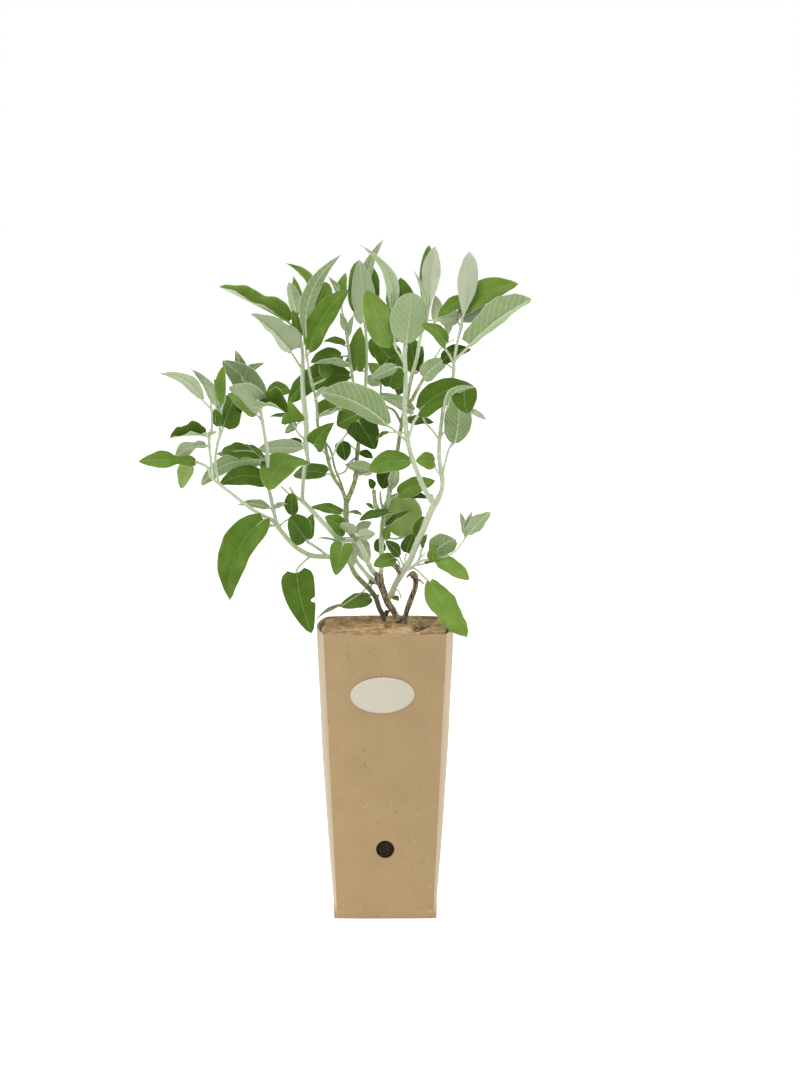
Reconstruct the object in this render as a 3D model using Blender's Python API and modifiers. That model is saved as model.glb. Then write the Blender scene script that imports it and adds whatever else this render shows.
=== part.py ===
"""Potted woody sage: a tall square carton pot with soil, a fibre mat and one plant.

Metres, +Z up, -Y to the front. The origin is the centre of the pot's base on the ground.
The plant's points are hand-chosen triples in millimetres: how far across and how high the
point looks from the front eye point, on the pot's middle plane, and then how far behind
that plane (or, below zero, in front of it) it lies along the same line of sight.
"""

import math
from collections import namedtuple

import bmesh
import bpy
from mathutils import Matrix, Vector

MM = 0.001

# Pot
POT_HEIGHT = 0.245
BASE_HALF = 0.043
TOP_HALF = 0.0515
BASE_BOW = 0.0008
TOP_BOW = 0.006
BOARD = 0.0013
SIDE_FACES = 8
WALL_ROWS = (0.0, 0.0046, 0.0050, 0.085, 0.165, POT_HEIGHT)
HEM_TOP = 0.0048
HEM_OUT = 0.0008
DRAIN_RADIUS = 0.0077
DRAIN_HEIGHT = 0.0613

# Label on the front wall
LABEL_WIDTH = 0.054
LABEL_HEIGHT = 0.0305
LABEL_CENTRE = (-0.0022, 0.1945)
LABEL_TILT = math.radians(2)
LABEL_THICK = 0.0005
LABEL_GAP = 0.0003

# Filling
MAT_TOP = 0.2432
MAT_THICK = 0.0045
MAT_HALF = 0.0546
CORNER_PULL = 0.3
SLIT_ACROSS = 0.0247
SLIT_WIDTH = 0.0016
HOLLOW_CENTRE = (0.037, -0.004)
HOLLOW_DEPTH = 0.0045
HOLE_PLAY = 0.0007
SOIL_PLAY = 0.0003
SOIL_DROP = 0.0016
CROWN_HOLE = 0.0098
SOIL_FLOOR = 0.004
FOOT_DEPTH = 0.024

# Plant
EYE = Vector((0.0, -2.0, 0.548))
BLADE_THICK = 0.0008
THIN_STEM = 1.35
WOOD_SIDES = 8
BUTT_GAP = 0.0004
STALK_WIDTH = 1.5
BIG_LEAF = 16.5
SMALL_LEAF = 11
BIG_OUTLINE = ((0.0, 0.34), (0.13, 0.95), (0.42, 1.0), (0.77, 0.62), (1.0, 0.0))
BLADE_OUTLINE = ((0.0, 0.3), (0.25, 0.98), (0.7, 0.72), (1.0, 0.0))
SMALL_OUTLINE = ((0.0, 0.22), (0.4, 1.0), (1.0, 0.0))
LOBE_BACK = 0.05
RIPPLE = 0.07
LEAN_FROM = 300
LEAN_TO = 560

Leaf = namedtuple(
    "Leaf", "join base tip width facing via arch fold sway", defaults=((), 0.07, 0.22, 0.0)
)
Stem = namedtuple("Stem", "points first_radius last_radius")


def clear_scene():
    for obj in list(bpy.data.objects):
        bpy.data.objects.remove(obj)


def new_collection(name):
    collection = bpy.data.collections.new(name)
    bpy.context.scene.collection.children.link(collection)
    return collection


def material(name, colour, roughness):
    made = bpy.data.materials.new(name)
    made.use_nodes = True
    shader = made.node_tree.nodes["Principled BSDF"]
    shader.inputs["Base Color"].default_value = (*colour, 1.0)
    shader.inputs["Roughness"].default_value = roughness
    shader.inputs["Metallic"].default_value = 0.0
    return made


def new_object(name, mesh, collection):
    obj = bpy.data.objects.new(name, mesh)
    collection.objects.link(obj)
    return obj


def object_from_bmesh(name, bm, collection):
    mesh = bpy.data.meshes.new(name)
    bm.to_mesh(mesh)
    bm.free()
    return new_object(name, mesh, collection)


def finish(obj, look, angle=40):
    """One material, smooth shading with sharp edges kept."""
    obj.data.materials.clear()
    obj.data.materials.append(look)
    obj.data.shade_smooth()
    obj.data.set_sharp_from_angle(angle=math.radians(angle))


def evaluated_mesh(obj):
    graph = bpy.context.evaluated_depsgraph_get()
    return bpy.data.meshes.new_from_object(obj.evaluated_get(graph))


def apply_modifiers(obj):
    mesh = evaluated_mesh(obj)
    obj.modifiers.clear()
    obj.data = mesh


def mark_cutter(obj):
    obj.hide_render = True
    obj.display_type = "WIRE"
    return obj


def cut(obj, cutter, solver="MANIFOLD"):
    modifier = obj.modifiers.new("Cut " + cutter.name, "BOOLEAN")
    modifier.operation = "DIFFERENCE"
    modifier.solver = solver
    modifier.object = cutter


def cylinder_cutter(name, radius, start, end, sides=16):
    """A round cutter between two points."""
    axis = end - start
    turn = axis.to_track_quat("Z", "Y").to_matrix().to_4x4()
    bm = bmesh.new()
    bmesh.ops.create_cone(
        bm, cap_ends=True, segments=sides, radius1=radius, radius2=radius, depth=axis.length
    )
    bmesh.ops.transform(bm, matrix=Matrix.Translation((start + end) / 2) @ turn, verts=bm.verts)
    return mark_cutter(object_from_bmesh(name, bm, cutters))


def wall_at(height):
    """Half width at the corners and the outward bow of each wall at this height."""
    share = height / POT_HEIGHT
    half = BASE_HALF + (TOP_HALF - BASE_HALF) * share
    return half, BASE_BOW + (TOP_BOW - BASE_BOW) * share


def outline_point(angle, height, inset=0.0):
    """Point of the bowed square in this direction from the axis."""
    half, bow = wall_at(height)
    ray = Vector((math.cos(angle), math.sin(angle)))
    longest = max(abs(ray.x), abs(ray.y))
    along_wall = min(abs(ray.x), abs(ray.y)) / longest
    reach = half - inset + bow * (1 - along_wall**2)
    x = ray.x / longest * (reach if abs(ray.x) == longest else half - inset)
    y = ray.y / longest * (reach if abs(ray.y) == longest else half - inset)
    return x, y


def front_wall_depth(across, height):
    half, bow = wall_at(height)
    return -(half + bow * (1 - (across / half) ** 2))


def carton_pot():
    """Folded board: one open shell with a floor, a wider hem at the foot and two drain holes."""
    bm = bmesh.new()
    bmesh.ops.create_cone(
        bm, cap_ends=True, segments=4 * SIDE_FACES, radius1=1, radius2=1, depth=2
    )
    bmesh.ops.delete(
        bm, geom=[f for f in bm.faces if f.calc_center_median().z > 0.9], context="FACES_ONLY"
    )
    upright = [e for e in bm.edges if abs(e.verts[0].co.z - e.verts[1].co.z) > 1]
    bmesh.ops.subdivide_edges(bm, edges=upright, cuts=len(WALL_ROWS) - 2)
    rows = sorted({round(v.co.z, 4) for v in bm.verts})
    for vert in bm.verts:
        height = WALL_ROWS[rows.index(round(vert.co.z, 4))]
        inset = -HEM_OUT if height < HEM_TOP else 0.0
        x, y = outline_point(math.atan2(vert.co.y, vert.co.x), height, inset)
        vert.co = (x, y, height)
    pot = object_from_bmesh("carton_pot", bm, parts)
    board = pot.modifiers.new("Board", "SOLIDIFY")
    board.thickness = BOARD
    board.offset = -1
    board.use_even_offset = True
    reach = Vector((0, 2 * TOP_HALF, 0))
    centre = Vector((0, 0, DRAIN_HEIGHT))
    cut(pot, cylinder_cutter("drain_cutter", DRAIN_RADIUS, centre - reach, centre + reach))
    finish(pot, material("kraft_board", (0.46, 0.32, 0.17), 0.85), angle=20)


def name_label():
    """Blank oval sticker that follows the bow of the front wall."""
    bm = bmesh.new()
    bmesh.ops.create_grid(bm, x_segments=8, y_segments=4, size=1)
    for vert in bm.verts:
        u, v = vert.co.x, vert.co.y
        across = u * math.sqrt(1 - v * v / 2) * LABEL_WIDTH / 2
        up = v * math.sqrt(1 - u * u / 2) * LABEL_HEIGHT / 2
        x = LABEL_CENTRE[0] + across * math.cos(LABEL_TILT) - up * math.sin(LABEL_TILT)
        z = LABEL_CENTRE[1] + up * math.cos(LABEL_TILT) + across * math.sin(LABEL_TILT)
        vert.co = (x, front_wall_depth(x, z) - LABEL_GAP - LABEL_THICK, z)
    bmesh.ops.recalc_face_normals(bm, faces=bm.faces)
    if sum(f.normal.y * f.calc_area() for f in bm.faces) > 0:
        bmesh.ops.reverse_faces(bm, faces=bm.faces)
    label = object_from_bmesh("name_label", bm, parts)
    sheet = label.modifiers.new("Sheet", "SOLIDIFY")
    sheet.thickness = LABEL_THICK
    sheet.offset = -1
    finish(label, material("label_paper", (0.68, 0.62, 0.49), 0.6))


def mat_height(x, y):
    """Top of the mat: gentle waves, and a hollow in its right flap beside the slit."""
    waves = 0.0009 * math.sin(95 * x + 1.0) * math.cos(80 * y) + 0.0006 * math.sin(170 * y - 60 * x)
    hollow = 0.0
    if x > SLIT_ACROSS - SLIT_WIDTH:
        spread = ((x - HOLLOW_CENTRE[0]) / 0.011) ** 2 + ((y - HOLLOW_CENTRE[1]) / 0.034) ** 2
        hollow = HOLLOW_DEPTH * math.exp(-spread)
    return MAT_TOP + waves - hollow


def rounded_place(u, v, half):
    """A square grid's point pulled in at the corners."""
    x = half * u * math.sqrt(1 - CORNER_PULL * v * v)
    y = half * v * math.sqrt(1 - CORNER_PULL * u * u)
    return x, y


def fibre_mat():
    """Coir disc with rounded corners, slit from the front edge to the crown's hole."""
    bm = bmesh.new()
    bmesh.ops.create_grid(bm, x_segments=11, y_segments=11, size=1)
    for vert in bm.verts:
        x, y = rounded_place(vert.co.x, vert.co.y, MAT_HALF)
        if vert.co.x > 0:
            x *= 1 - 0.035 * vert.co.x
        vert.co = (x, y, mat_height(x, y))
    mat = object_from_bmesh("fibre_mat", bm, parts)
    felt = mat.modifiers.new("Felt", "SOLIDIFY")
    felt.thickness = MAT_THICK
    felt.offset = -1
    low = Vector((0, 0, MAT_TOP - 0.02))
    high = Vector((0, 0, MAT_TOP + 0.02))
    for name, (x, y, radius) in plant_holes().items():
        side = Vector((x, y, 0))
        cut(mat, cylinder_cutter("mat_hole_" + name, radius, side + low, side + high))
    bm = bmesh.new()
    bmesh.ops.create_cube(bm, size=1)
    back = plant_holes()["crown"][1]
    front = -1.2 * MAT_HALF
    size = Matrix.Diagonal((SLIT_WIDTH, back - front, 0.04, 1))
    spot = Matrix.Translation((SLIT_ACROSS, (back + front) / 2, MAT_TOP))
    bmesh.ops.transform(bm, matrix=spot @ size, verts=bm.verts)
    cut(mat, mark_cutter(object_from_bmesh("slit_cutter", bm, cutters)))
    finish(mat, material("coir", (0.5, 0.35, 0.18), 0.95))


def growing_medium():
    """Soil block that fills the pot up to the underside of the mat, with holes for the feet."""
    bm = bmesh.new()
    bmesh.ops.create_grid(bm, x_segments=6, y_segments=6, size=1)
    top = list(bm.verts)
    low = bmesh.ops.extrude_face_region(bm, geom=list(bm.faces))["geom"]
    bottom = [g for g in low if isinstance(g, bmesh.types.BMVert)]
    places = {v: (v.co.x, v.co.y) for v in bm.verts}
    for vert in top:
        x, y = rounded_place(*places[vert], MAT_HALF - SOIL_PLAY)
        vert.co = (x, y, mat_height(x, y) - MAT_THICK - SOIL_DROP)
    for vert in bottom:
        x, y = rounded_place(*places[vert], BASE_HALF - BOARD - SOIL_PLAY)
        vert.co = (x, y, SOIL_FLOOR)
    bmesh.ops.recalc_face_normals(bm, faces=bm.faces)
    soil = object_from_bmesh("growing_medium", bm, parts)
    for name, (x, y, radius) in plant_holes().items():
        side = Vector((x, y, 0))
        start = side + Vector((0, 0, MAT_TOP - MAT_THICK - FOOT_DEPTH))
        end = side + Vector((0, 0, MAT_TOP + 0.01))
        cut(soil, cylinder_cutter("soil_hole_" + name, radius, start, end))
    finish(soil, material("peat_soil", (0.03, 0.02, 0.012), 1.0))


def place(point):
    across, up, depth = point
    seen = Vector((across, 0.0, up)) * MM
    return EYE + (seen - EYE) * (1 - depth * MM / EYE.y)


def plant_holes():
    """Where the crown and the separately rooted stem stand: across, depth and radius."""
    crown_centre = (place(TRUNK[1]) + place(SECOND_TRUNK[1])) / 2
    stem_foot = place(LOW_LEFT_ROOT)
    return {
        "crown": (crown_centre.x, crown_centre.y, CROWN_HOLE),
        "stem": (stem_foot.x, stem_foot.y, LOW_LEFT_RADIUS * MM + HOLE_PLAY),
    }


def tube_object(name, places, radii, collection, sides=0):
    """A round stem through the places, as a closed mesh. A thin one has four sides, others six."""
    curve = bpy.data.curves.new(name, "CURVE")
    curve.dimensions = "3D"
    curve.bevel_depth = MM
    curve.bevel_resolution = sides // 2 - 2 if sides else int(max(radii) > THIN_STEM)
    curve.use_fill_caps = True
    spline = curve.splines.new("POLY")
    spline.points.add(len(places) - 1)
    for point, spot, radius in zip(spline.points, places, radii):
        point.co = (*spot, 1.0)
        point.radius = radius
    guide = new_object(name + "_guide", curve, collection)
    mesh = evaluated_mesh(guide)
    bm = bmesh.new()
    bm.from_mesh(mesh)
    bmesh.ops.remove_doubles(bm, verts=bm.verts, dist=0.00001)
    bmesh.ops.recalc_face_normals(bm, faces=bm.faces)
    bm.to_mesh(mesh)
    bm.free()
    tube = new_object(name, mesh, collection)
    tube.matrix_world = guide.matrix_world
    bpy.data.objects.remove(guide)
    return tube


def stem_radii(stem):
    count = len(stem.points)
    step = (stem.last_radius - stem.first_radius) / (count - 1)
    return [stem.first_radius + step * i for i in range(count)]


def stem_object(stem, collection):
    return tube_object("stem", [place(p) for p in stem.points], stem_radii(stem), collection)


def butt_cutter(name, stem):
    """The stem's own form, wider by the gap that a stem growing from it keeps."""
    flats = math.cos(math.pi / WOOD_SIDES)
    radii = [(radius + BUTT_GAP / MM) / flats for radius in stem_radii(stem)]
    cutter = tube_object(name, [place(p) for p in stem.points], radii, cutters, WOOD_SIDES)
    return mark_cutter(cutter)


def nearest_on(stems, wanted):
    """The point of any stem's axis that looks nearest to the wanted one, with its depth."""
    best = None
    for stem in stems:
        for start, end in zip(stem.points, stem.points[1:]):
            run = (end[0] - start[0], end[1] - start[1])
            span = run[0] ** 2 + run[1] ** 2
            share = ((wanted[0] - start[0]) * run[0] + (wanted[1] - start[1]) * run[1]) / span
            share = min(0.95, max(0.05, share))
            spot = tuple(a + (b - a) * share for a, b in zip(start, end))
            distance = math.hypot(spot[0] - wanted[0], spot[1] - wanted[1])
            if best is None or distance < best[0]:
                best = (distance, spot)
    return best[1]


def blade_frame(leaf):
    """Base, length and the three directions of a blade: along it, across it, out of its green side."""
    base = place(leaf.base)
    along = place(leaf.tip) - base
    length = along.length
    along.normalize()
    to_eye = EYE - base
    to_eye -= along * to_eye.dot(along)
    to_eye.normalize()
    side = along.cross(to_eye)
    if side.z < 0:
        side.negate()
    turn = math.radians(leaf.facing)
    green = to_eye * math.sin(turn) + side * math.cos(turn)
    across = side * math.sin(turn) - to_eye * math.cos(turn)
    if turn < 0:
        across.negate()
    return base, length, along, across, green


def midrib_place(leaf, share):
    base, length, along, across, green = blade_frame(leaf)
    bulge = 4 * share * (1 - share) * length
    return base + along * length * share + green * leaf.arch * bulge + across * leaf.sway * bulge


def stalk_rows(leaf, stems, across, green):
    """Centre and half width of each row of the stalk, from a point on the stem's axis to the blade."""
    places = [place(p) for p in (nearest_on(stems, leaf.join), *leaf.via, leaf.base)]
    rows = []
    for spot, onward in zip(places, places[1:]):
        run = (onward - spot).normalized()
        flat = across - run * across.dot(run)
        if flat.length < 0.4:
            flat = green - run * green.dot(run)
        rows.append((spot, flat.normalized() * STALK_WIDTH * MM / 2))
    rows[0] = (places[0], Vector())
    return rows


def leaf_object(leaf, stems, collection):
    """A flat stalk and a pointed oval blade, lobed at its base, folded along the midrib, slightly waved."""
    small = leaf.width < SMALL_LEAF
    outline = SMALL_OUTLINE if small else BIG_OUTLINE if leaf.width > BIG_LEAF else BLADE_OUTLINE
    base, length, along, across, green = blade_frame(leaf)
    stalk = stalk_rows(leaf, stems, across, green)
    count = len(stalk) + len(outline)
    bm = bmesh.new()
    bmesh.ops.create_grid(bm, x_segments=1 if small else 2, y_segments=count - 1, size=1)
    for vert in bm.verts:
        row = round((vert.co.y + 1) / 2 * (count - 1))
        edge = round(vert.co.x)
        if row < len(stalk):
            spot, flat = stalk[row]
            vert.co = spot + flat * edge
            continue
        row -= len(stalk)
        share, spread = outline[row]
        half = edge * spread * leaf.width * MM / 2
        wave = RIPPLE * abs(half) * (-1) ** row * edge
        spot = midrib_place(leaf, share) + across * half + green * (abs(half) * leaf.fold + wave)
        if row == 1:
            spot -= along * abs(edge) * LOBE_BACK * length
        vert.co = spot
    bmesh.ops.remove_doubles(bm, verts=bm.verts, dist=0.00005)
    bmesh.ops.triangulate(bm, faces=bm.faces)
    bmesh.ops.recalc_face_normals(bm, faces=bm.faces)
    blade = object_from_bmesh("blade", bm, collection)
    sheet = blade.modifiers.new("Sheet", "SOLIDIFY")
    sheet.thickness = BLADE_THICK
    sheet.offset = 0
    apply_modifiers(blade)
    return blade


def shells_of(bm):
    """The mesh's separate closed surfaces, as lists of faces."""
    waiting = set(bm.faces)
    shells = []
    while waiting:
        reached = [waiting.pop()]
        shell = []
        while reached:
            face = reached.pop()
            shell.append(face)
            beside = {f for edge in face.edges for f in edge.link_faces} & waiting
            waiting -= beside
            reached.extend(beside)
        shells.append(shell)
    return shells


def shell_volume(shell):
    """Signed volume inside a closed surface, below zero where it faces inwards."""
    total = 0.0
    for face in shell:
        first, *others = [vert.co for vert in face.verts]
        for second, third in zip(others, others[1:]):
            total += first.dot(second.cross(third)) / 6
    return total


def keep_outer_shell(mesh):
    """Fills sealed hollows, such as one between two leaves that touch, and drops loose scraps."""
    bm = bmesh.new()
    bm.from_mesh(mesh)
    shells = sorted(shells_of(bm), key=shell_volume)
    inner = [face for shell in shells[:-1] for face in shell]
    bmesh.ops.delete(bm, geom=inner, context="FACES")
    bm.to_mesh(mesh)
    bm.free()


def fuse(name, pieces, collection):
    """One Boolean union of all the pieces, applied."""
    body = pieces[0]
    others = bpy.data.collections.new(name + "_pieces")
    bpy.context.scene.collection.children.link(others)
    for piece in pieces[1:]:
        collection.objects.unlink(piece)
        others.objects.link(piece)
    union = body.modifiers.new("Union", "BOOLEAN")
    union.operation = "UNION"
    union.solver = "MANIFOLD"
    union.operand_type = "COLLECTION"
    union.collection = others
    apply_modifiers(body)
    keep_outer_shell(body.data)
    for piece in pieces[1:]:
        bpy.data.objects.remove(piece)
    bpy.data.collections.remove(others)
    body.name = name
    body.data.name = name
    return body


def leaned(point, lean):
    """The point moved back by its share of the lean that the stem has at the plant's top."""
    across, up, depth = point
    share = max(0.0, (up - LEAN_FROM) / (LEAN_TO - LEAN_FROM))
    return (across, up, depth + lean * share)


def lean_stem(stem, lean):
    return stem._replace(points=[leaned(point, lean) for point in stem.points])


def lean_leaf(leaf, lean):
    return leaf._replace(
        base=leaned(leaf.base, lean),
        tip=leaned(leaf.tip, lean),
        via=[leaned(point, lean) for point in leaf.via],
    )


def leafy_stem(name, stems, leaves, look, lean=0, butts=()):
    """Stems, stalks and blades as one solid, kept clear of the stems that it grows from."""
    stems = [lean_stem(stem, lean) for stem in stems]
    leaves = [lean_leaf(leaf, lean) for leaf in leaves]
    pieces = [stem_object(stem, parts) for stem in stems]
    pieces += [leaf_object(leaf, stems, parts) for leaf in leaves]
    body = fuse(name, pieces, parts)
    for number, parent in enumerate(butts):
        cut(body, butt_cutter(f"{name}_butt_{number}", parent))
    apply_modifiers(body)
    finish(body, look)


def foot_of(point, down=FOOT_DEPTH / MM - 3):
    """The point straight below this one, under the soil."""
    across, up, depth = point
    return (across, up - down, depth)


# Woody crown
TRUNK = [
    foot_of((12, 246, 15)), (12, 246, 15), (8, 256, 13), (3, 263.5, 12), (-2, 276, 10), (-4.5, 284, 8),
    (-5, 288.5, 7.5),
]
TRUNK_RADII = (3.2, 3.2, 3.0, 3.0, 3.3, 3.7, 4.1)
SECOND_TRUNK = [
    foot_of((16.5, 246, 21)), (16.5, 246, 21), (18, 255, 22), (20.5, 263, 22), (23.5, 271, 22),
    (26, 279, 21), (26, 286, 20), (24.5, 289.5, 18), (21.6, 289, 15),
]
SECOND_TRUNK_RADII = (2.8, 2.8, 2.6, 2.7, 2.5, 2.6, 2.9, 2.4, 2.0)
TRUNK_TOP = Stem(TRUNK[3:], 3.0, 4.1)
KNOT = Stem([(-9, 290, 6), (-5.5, 289, 6), (-2, 284, 8)], 1.8, 2.2)


def woody_crown():
    """Two old trunks on one root crown, the left one cut off short at its swollen top."""
    bm = bmesh.new()
    bmesh.ops.create_uvsphere(bm, u_segments=12, v_segments=6, radius=1)
    x, y, radius = plant_holes()["crown"]
    size = Matrix.Diagonal((radius - 0.001, radius - 0.001, 0.006, 1))
    bmesh.ops.transform(bm, matrix=Matrix.Translation((x, y, MAT_TOP - 0.007)) @ size, verts=bm.verts)
    root = object_from_bmesh("root_crown", bm, parts)
    trunk = tube_object("trunk", [place(p) for p in TRUNK], TRUNK_RADII, parts, WOOD_SIDES)
    second = tube_object(
        "second_trunk", [place(p) for p in SECOND_TRUNK], SECOND_TRUNK_RADII, parts, WOOD_SIDES
    )
    knot = tube_object("knot", [place(p) for p in KNOT.points], stem_radii(KNOT), parts, WOOD_SIDES)
    twig = stem_object(Stem([(26, 282, 21), (29.5, 284, 18), (33, 280.5, 16)], 0.9, 0.7), parts)
    crown = fuse("woody_crown", [root, trunk, second, knot, twig], parts)
    finish(crown, material("old_wood", (0.17, 0.13, 0.09), 0.9))


# Stem with its own root, low on the left, which forks into two leafy ends
LOW_LEFT_ROOT = (-1, 250, 25)
LOW_LEFT_RADIUS = 2.3
LOW_LEFT_STEMS = [
    Stem(
        [
            foot_of(LOW_LEFT_ROOT), LOW_LEFT_ROOT, (-5, 260, 22), (-8, 269, 18), (-13, 276, 13),
            (-20, 283, 8), (-26, 290, 3), (-31, 300, -3), (-39, 303, -8), (-48, 304, -12),
            (-62, 305, -18), (-71, 309, -22), (-76, 312.5, -24), (-81, 317, -26), (-86, 323, -28),
            (-90, 328, -30), (-93, 333, -31),
        ],
        LOW_LEFT_RADIUS, 1.9,
    ),
    Stem([(-7.5, 267, 19), (-5.3, 271.5, 18)], 1.0, 0.7),
    Stem(
        [
            (-93, 333, -31), (-97, 336, -32), (-105, 340, -34), (-114, 345.5, -36), (-120, 350, -37),
            (-130, 358, -39), (-139, 365, -41), (-147, 372, -42), (-151, 381, -43), (-161, 385.5, -44),
        ],
        1.7, 1.1,
    ),
    Stem(
        [
            (-146, 371, -42), (-147, 380, -42), (-148.5, 395, -41), (-149, 406, -40),
            (-147, 412, -40), (-146.5, 424, -40), (-147.5, 437, -40),
        ],
        1.3, 0.9,
    ),
    Stem(
        [(-141, 367, -41), (-144, 384, -38), (-142, 400, -35), (-140, 410, -35), (-139, 428, -35)],
        1.2, 0.9,
    ),
    Stem(
        [
            (-92, 331, -31), (-94, 340, -29), (-97, 355, -25), (-98.5, 362, -23), (-99.5, 378, -20),
            (-100, 395, -18), (-101.5, 405, -17), (-103, 415, -16), (-105.5, 430, -16),
        ],
        1.7, 1.4,
    ),
    Stem([(-48, 304, -12), (-56, 310.5, -16), (-66, 317, -24)], 1.3, 1.1),
]
LOW_LEFT_LEAVES = [
    Leaf((-147, 430), (-154, 438, -42), (-190, 460, -50), 16, -45, arch=0.08, sway=0.1),
    Leaf((-139, 426), (-143, 432, -36), (-164, 465, -40), 14, -50),
    Leaf((-139, 428), (-141, 443, -29), (-145, 456, -28), 7, 35),
    Leaf((-139, 428), (-137.5, 436, -33), (-136, 466, -35), 13, 70),
    Leaf((-140, 410), (-140, 416, -37), (-142, 430, -39), 9, 60),
    Leaf((-141, 400), (-134.5, 416, -40), (-121.5, 447, -46), 25, 75),
    Leaf((-149, 406), (-152, 410, -41), (-182, 405.5, -46), 18, 38, arch=0.12),
    Leaf((-161, 385.5), (-163, 386, -45), (-209, 386, -52), 17, 55, sway=-0.06),
    Leaf((-161, 385.5), (-164, 384, -42), (-172.5, 362.5, -40), 12, -65),
    Leaf((-149, 398), (-153, 400, -38), (-178, 388, -36), 13, -60, sway=-0.1),
    Leaf((-100, 388), (-106, 386, -14), (-156, 365.5, -20), 15, -58, sway=0.09),
    Leaf((-100, 390), (-104, 391, -15), (-139, 396, -12), 12, 30),
    Leaf((-100, 387), (-110, 388, -12), (-143, 392, -8), 12, -50),
    Leaf((-100, 387), (-102, 388, -21), (-118.5, 400.5, -24), 8, 35),
    Leaf((-99, 371), (-102, 370, -23), (-141, 366, -34), 20, 65),
    Leaf((-95, 345), (-98, 345.5, -29), (-125, 348.5, -33), 13, 22),
    Leaf((-95, 345), (-93.5, 346, -28), (-83, 349, -31), 8, 28, arch=0.15),
    Leaf((-92, 331), (-95, 331, -33), (-104, 328.5, -36), 6, -25),
    Leaf((-93, 333), (-103, 336, -40), (-132.5, 266.5, -50), 31, 78, via=((-98, 337.5, -36),), sway=0.13),
    Leaf(
        (-90, 330), (-79, 340, -28), (-80, 355, -30), 12, 70,
        via=((-86, 334, -31), (-81, 337, -29)),
    ),
    Leaf(
        (-62, 305), (-75.5, 290, -28), (-63, 238, -44), 28, 78, sway=-0.05,
        via=((-69, 300, -23), (-74.5, 294, -27)),
    ),
    Leaf((-66, 317), (-69.5, 320.5, -27), (-73.5, 337, -46), 25, 82),
    Leaf((-66, 317), (-66, 322, -22), (-62, 340.5, -18), 10, 55),
    Leaf((-104, 425), (-109, 427, -18), (-132, 443, -24), 14, 45),
    Leaf((-105, 429), (-106, 431, -13), (-131, 449, -9), 17, -60),
    Leaf((-105, 430), (-106, 437, -18), (-136, 471, -28), 26, 62),
    Leaf((-105, 430), (-121, 455, -12), (-125.5, 480.5, -12), 10, -50, via=((-111, 444, -13),)),
    Leaf((-105, 430), (-118, 460, -8), (-101, 469, -6), 9.6, -40, via=((-110, 446, -12),)),
    Leaf((-105, 430), (-105, 437, -20), (-84, 425, -24), 17, 45, arch=0.15),
    Leaf((-105, 429), (-100, 440, -11), (-79, 447, -6), 17, 65),
    Leaf((-1, 252), (0, 254, 23), (4, 257.5, 20), 6, 60),
]

# Stem that starts at the cut trunk's top and stands tallest on the left
TALL_LEFT_STEMS = [
    Stem(
        [
            (-6, 287, 8), (-10, 291, 8), (-14, 298, 7), (-18, 308, 5), (-23, 317, 3), (-30, 319, 1),
            (-36, 318.5, 0), (-40, 319.5, 0), (-45, 325, 1), (-50, 330.5, 3), (-60, 341, 7),
            (-65, 346.5, 9), (-70.5, 352, 11),
        ],
        2.3, 2.1,
    ),
    Stem([(-70, 351, 11), (-70, 362, 12), (-68, 380, 12), (-65.5, 387, 12), (-67, 396, 12)], 1.8, 1.6),
    Stem([(-66, 391, 12), (-67, 400, 12), (-66.5, 410, 12), (-67, 420, 12), (-69, 440, 12)], 2.0, 2.6),
    Stem([(-68.5, 436, 12), (-69.5, 457, 12), (-69.5, 475, 12), (-70.5, 487, 12)], 2.3, 1.4),
    Stem([(-70, 352, 11), (-76, 356, 9), (-81, 363.5, 7)], 1.4, 1.0),
    Stem([(-71, 352, 11), (-80, 356.5, 2), (-88, 364, -9)], 0.9, 0.8),
]
TALL_LEFT_LEAVES = [
    Leaf((-34, 318.5), (-35.5, 315.5, -11), (-42, 288, -19), 20, 78),
    Leaf((-39, 319), (-42, 318, -4), (-60, 319.7, -7), 8, -18),
    Leaf((-66, 386), (-67.5, 386, -8), (-98, 361.5, -68), 25, 60, sway=0.06),
    Leaf((-67, 398), (-70.5, 397, 8), (-108, 396, -16), 15, -55),
    Leaf((-67, 400), (-71, 402, 10), (-86, 403, 12), 10, 30),
    Leaf((-67, 404), (-79, 419, 1), (-80, 438, -6), 21, 80, via=((-72, 408, 6), (-76, 414, 3))),
    Leaf((-68, 425), (-75, 417, 6), (-85, 409.5, 2), 10, -50),
    Leaf((-68, 428), (-68, 431, 18), (-70, 459, 26), 25, 80),
    Leaf((-68, 424), (-78, 424, 7), (-98, 423.5, 1), 8, 30),
    Leaf((-70.5, 487), (-80, 503, 8), (-138, 532, -6), 19, 60, via=((-74, 496, 11),)),
    Leaf((-69, 463), (-77, 478, 6), (-112.5, 510, -4), 23, -70, via=((-73, 470, 9),), sway=0.1),
    Leaf((-70.5, 487), (-73, 511, 14), (-81, 535, 16), 10, -60, via=((-71, 499, 13),)),
    Leaf((-70.5, 487), (-72, 510, 17), (-76, 541, 20), 9.6, 50, via=((-71, 498, 15),)),
    Leaf((-70.5, 485), (-72.5, 491, 9), (-78, 514, 5), 10, 60),
]

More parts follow.
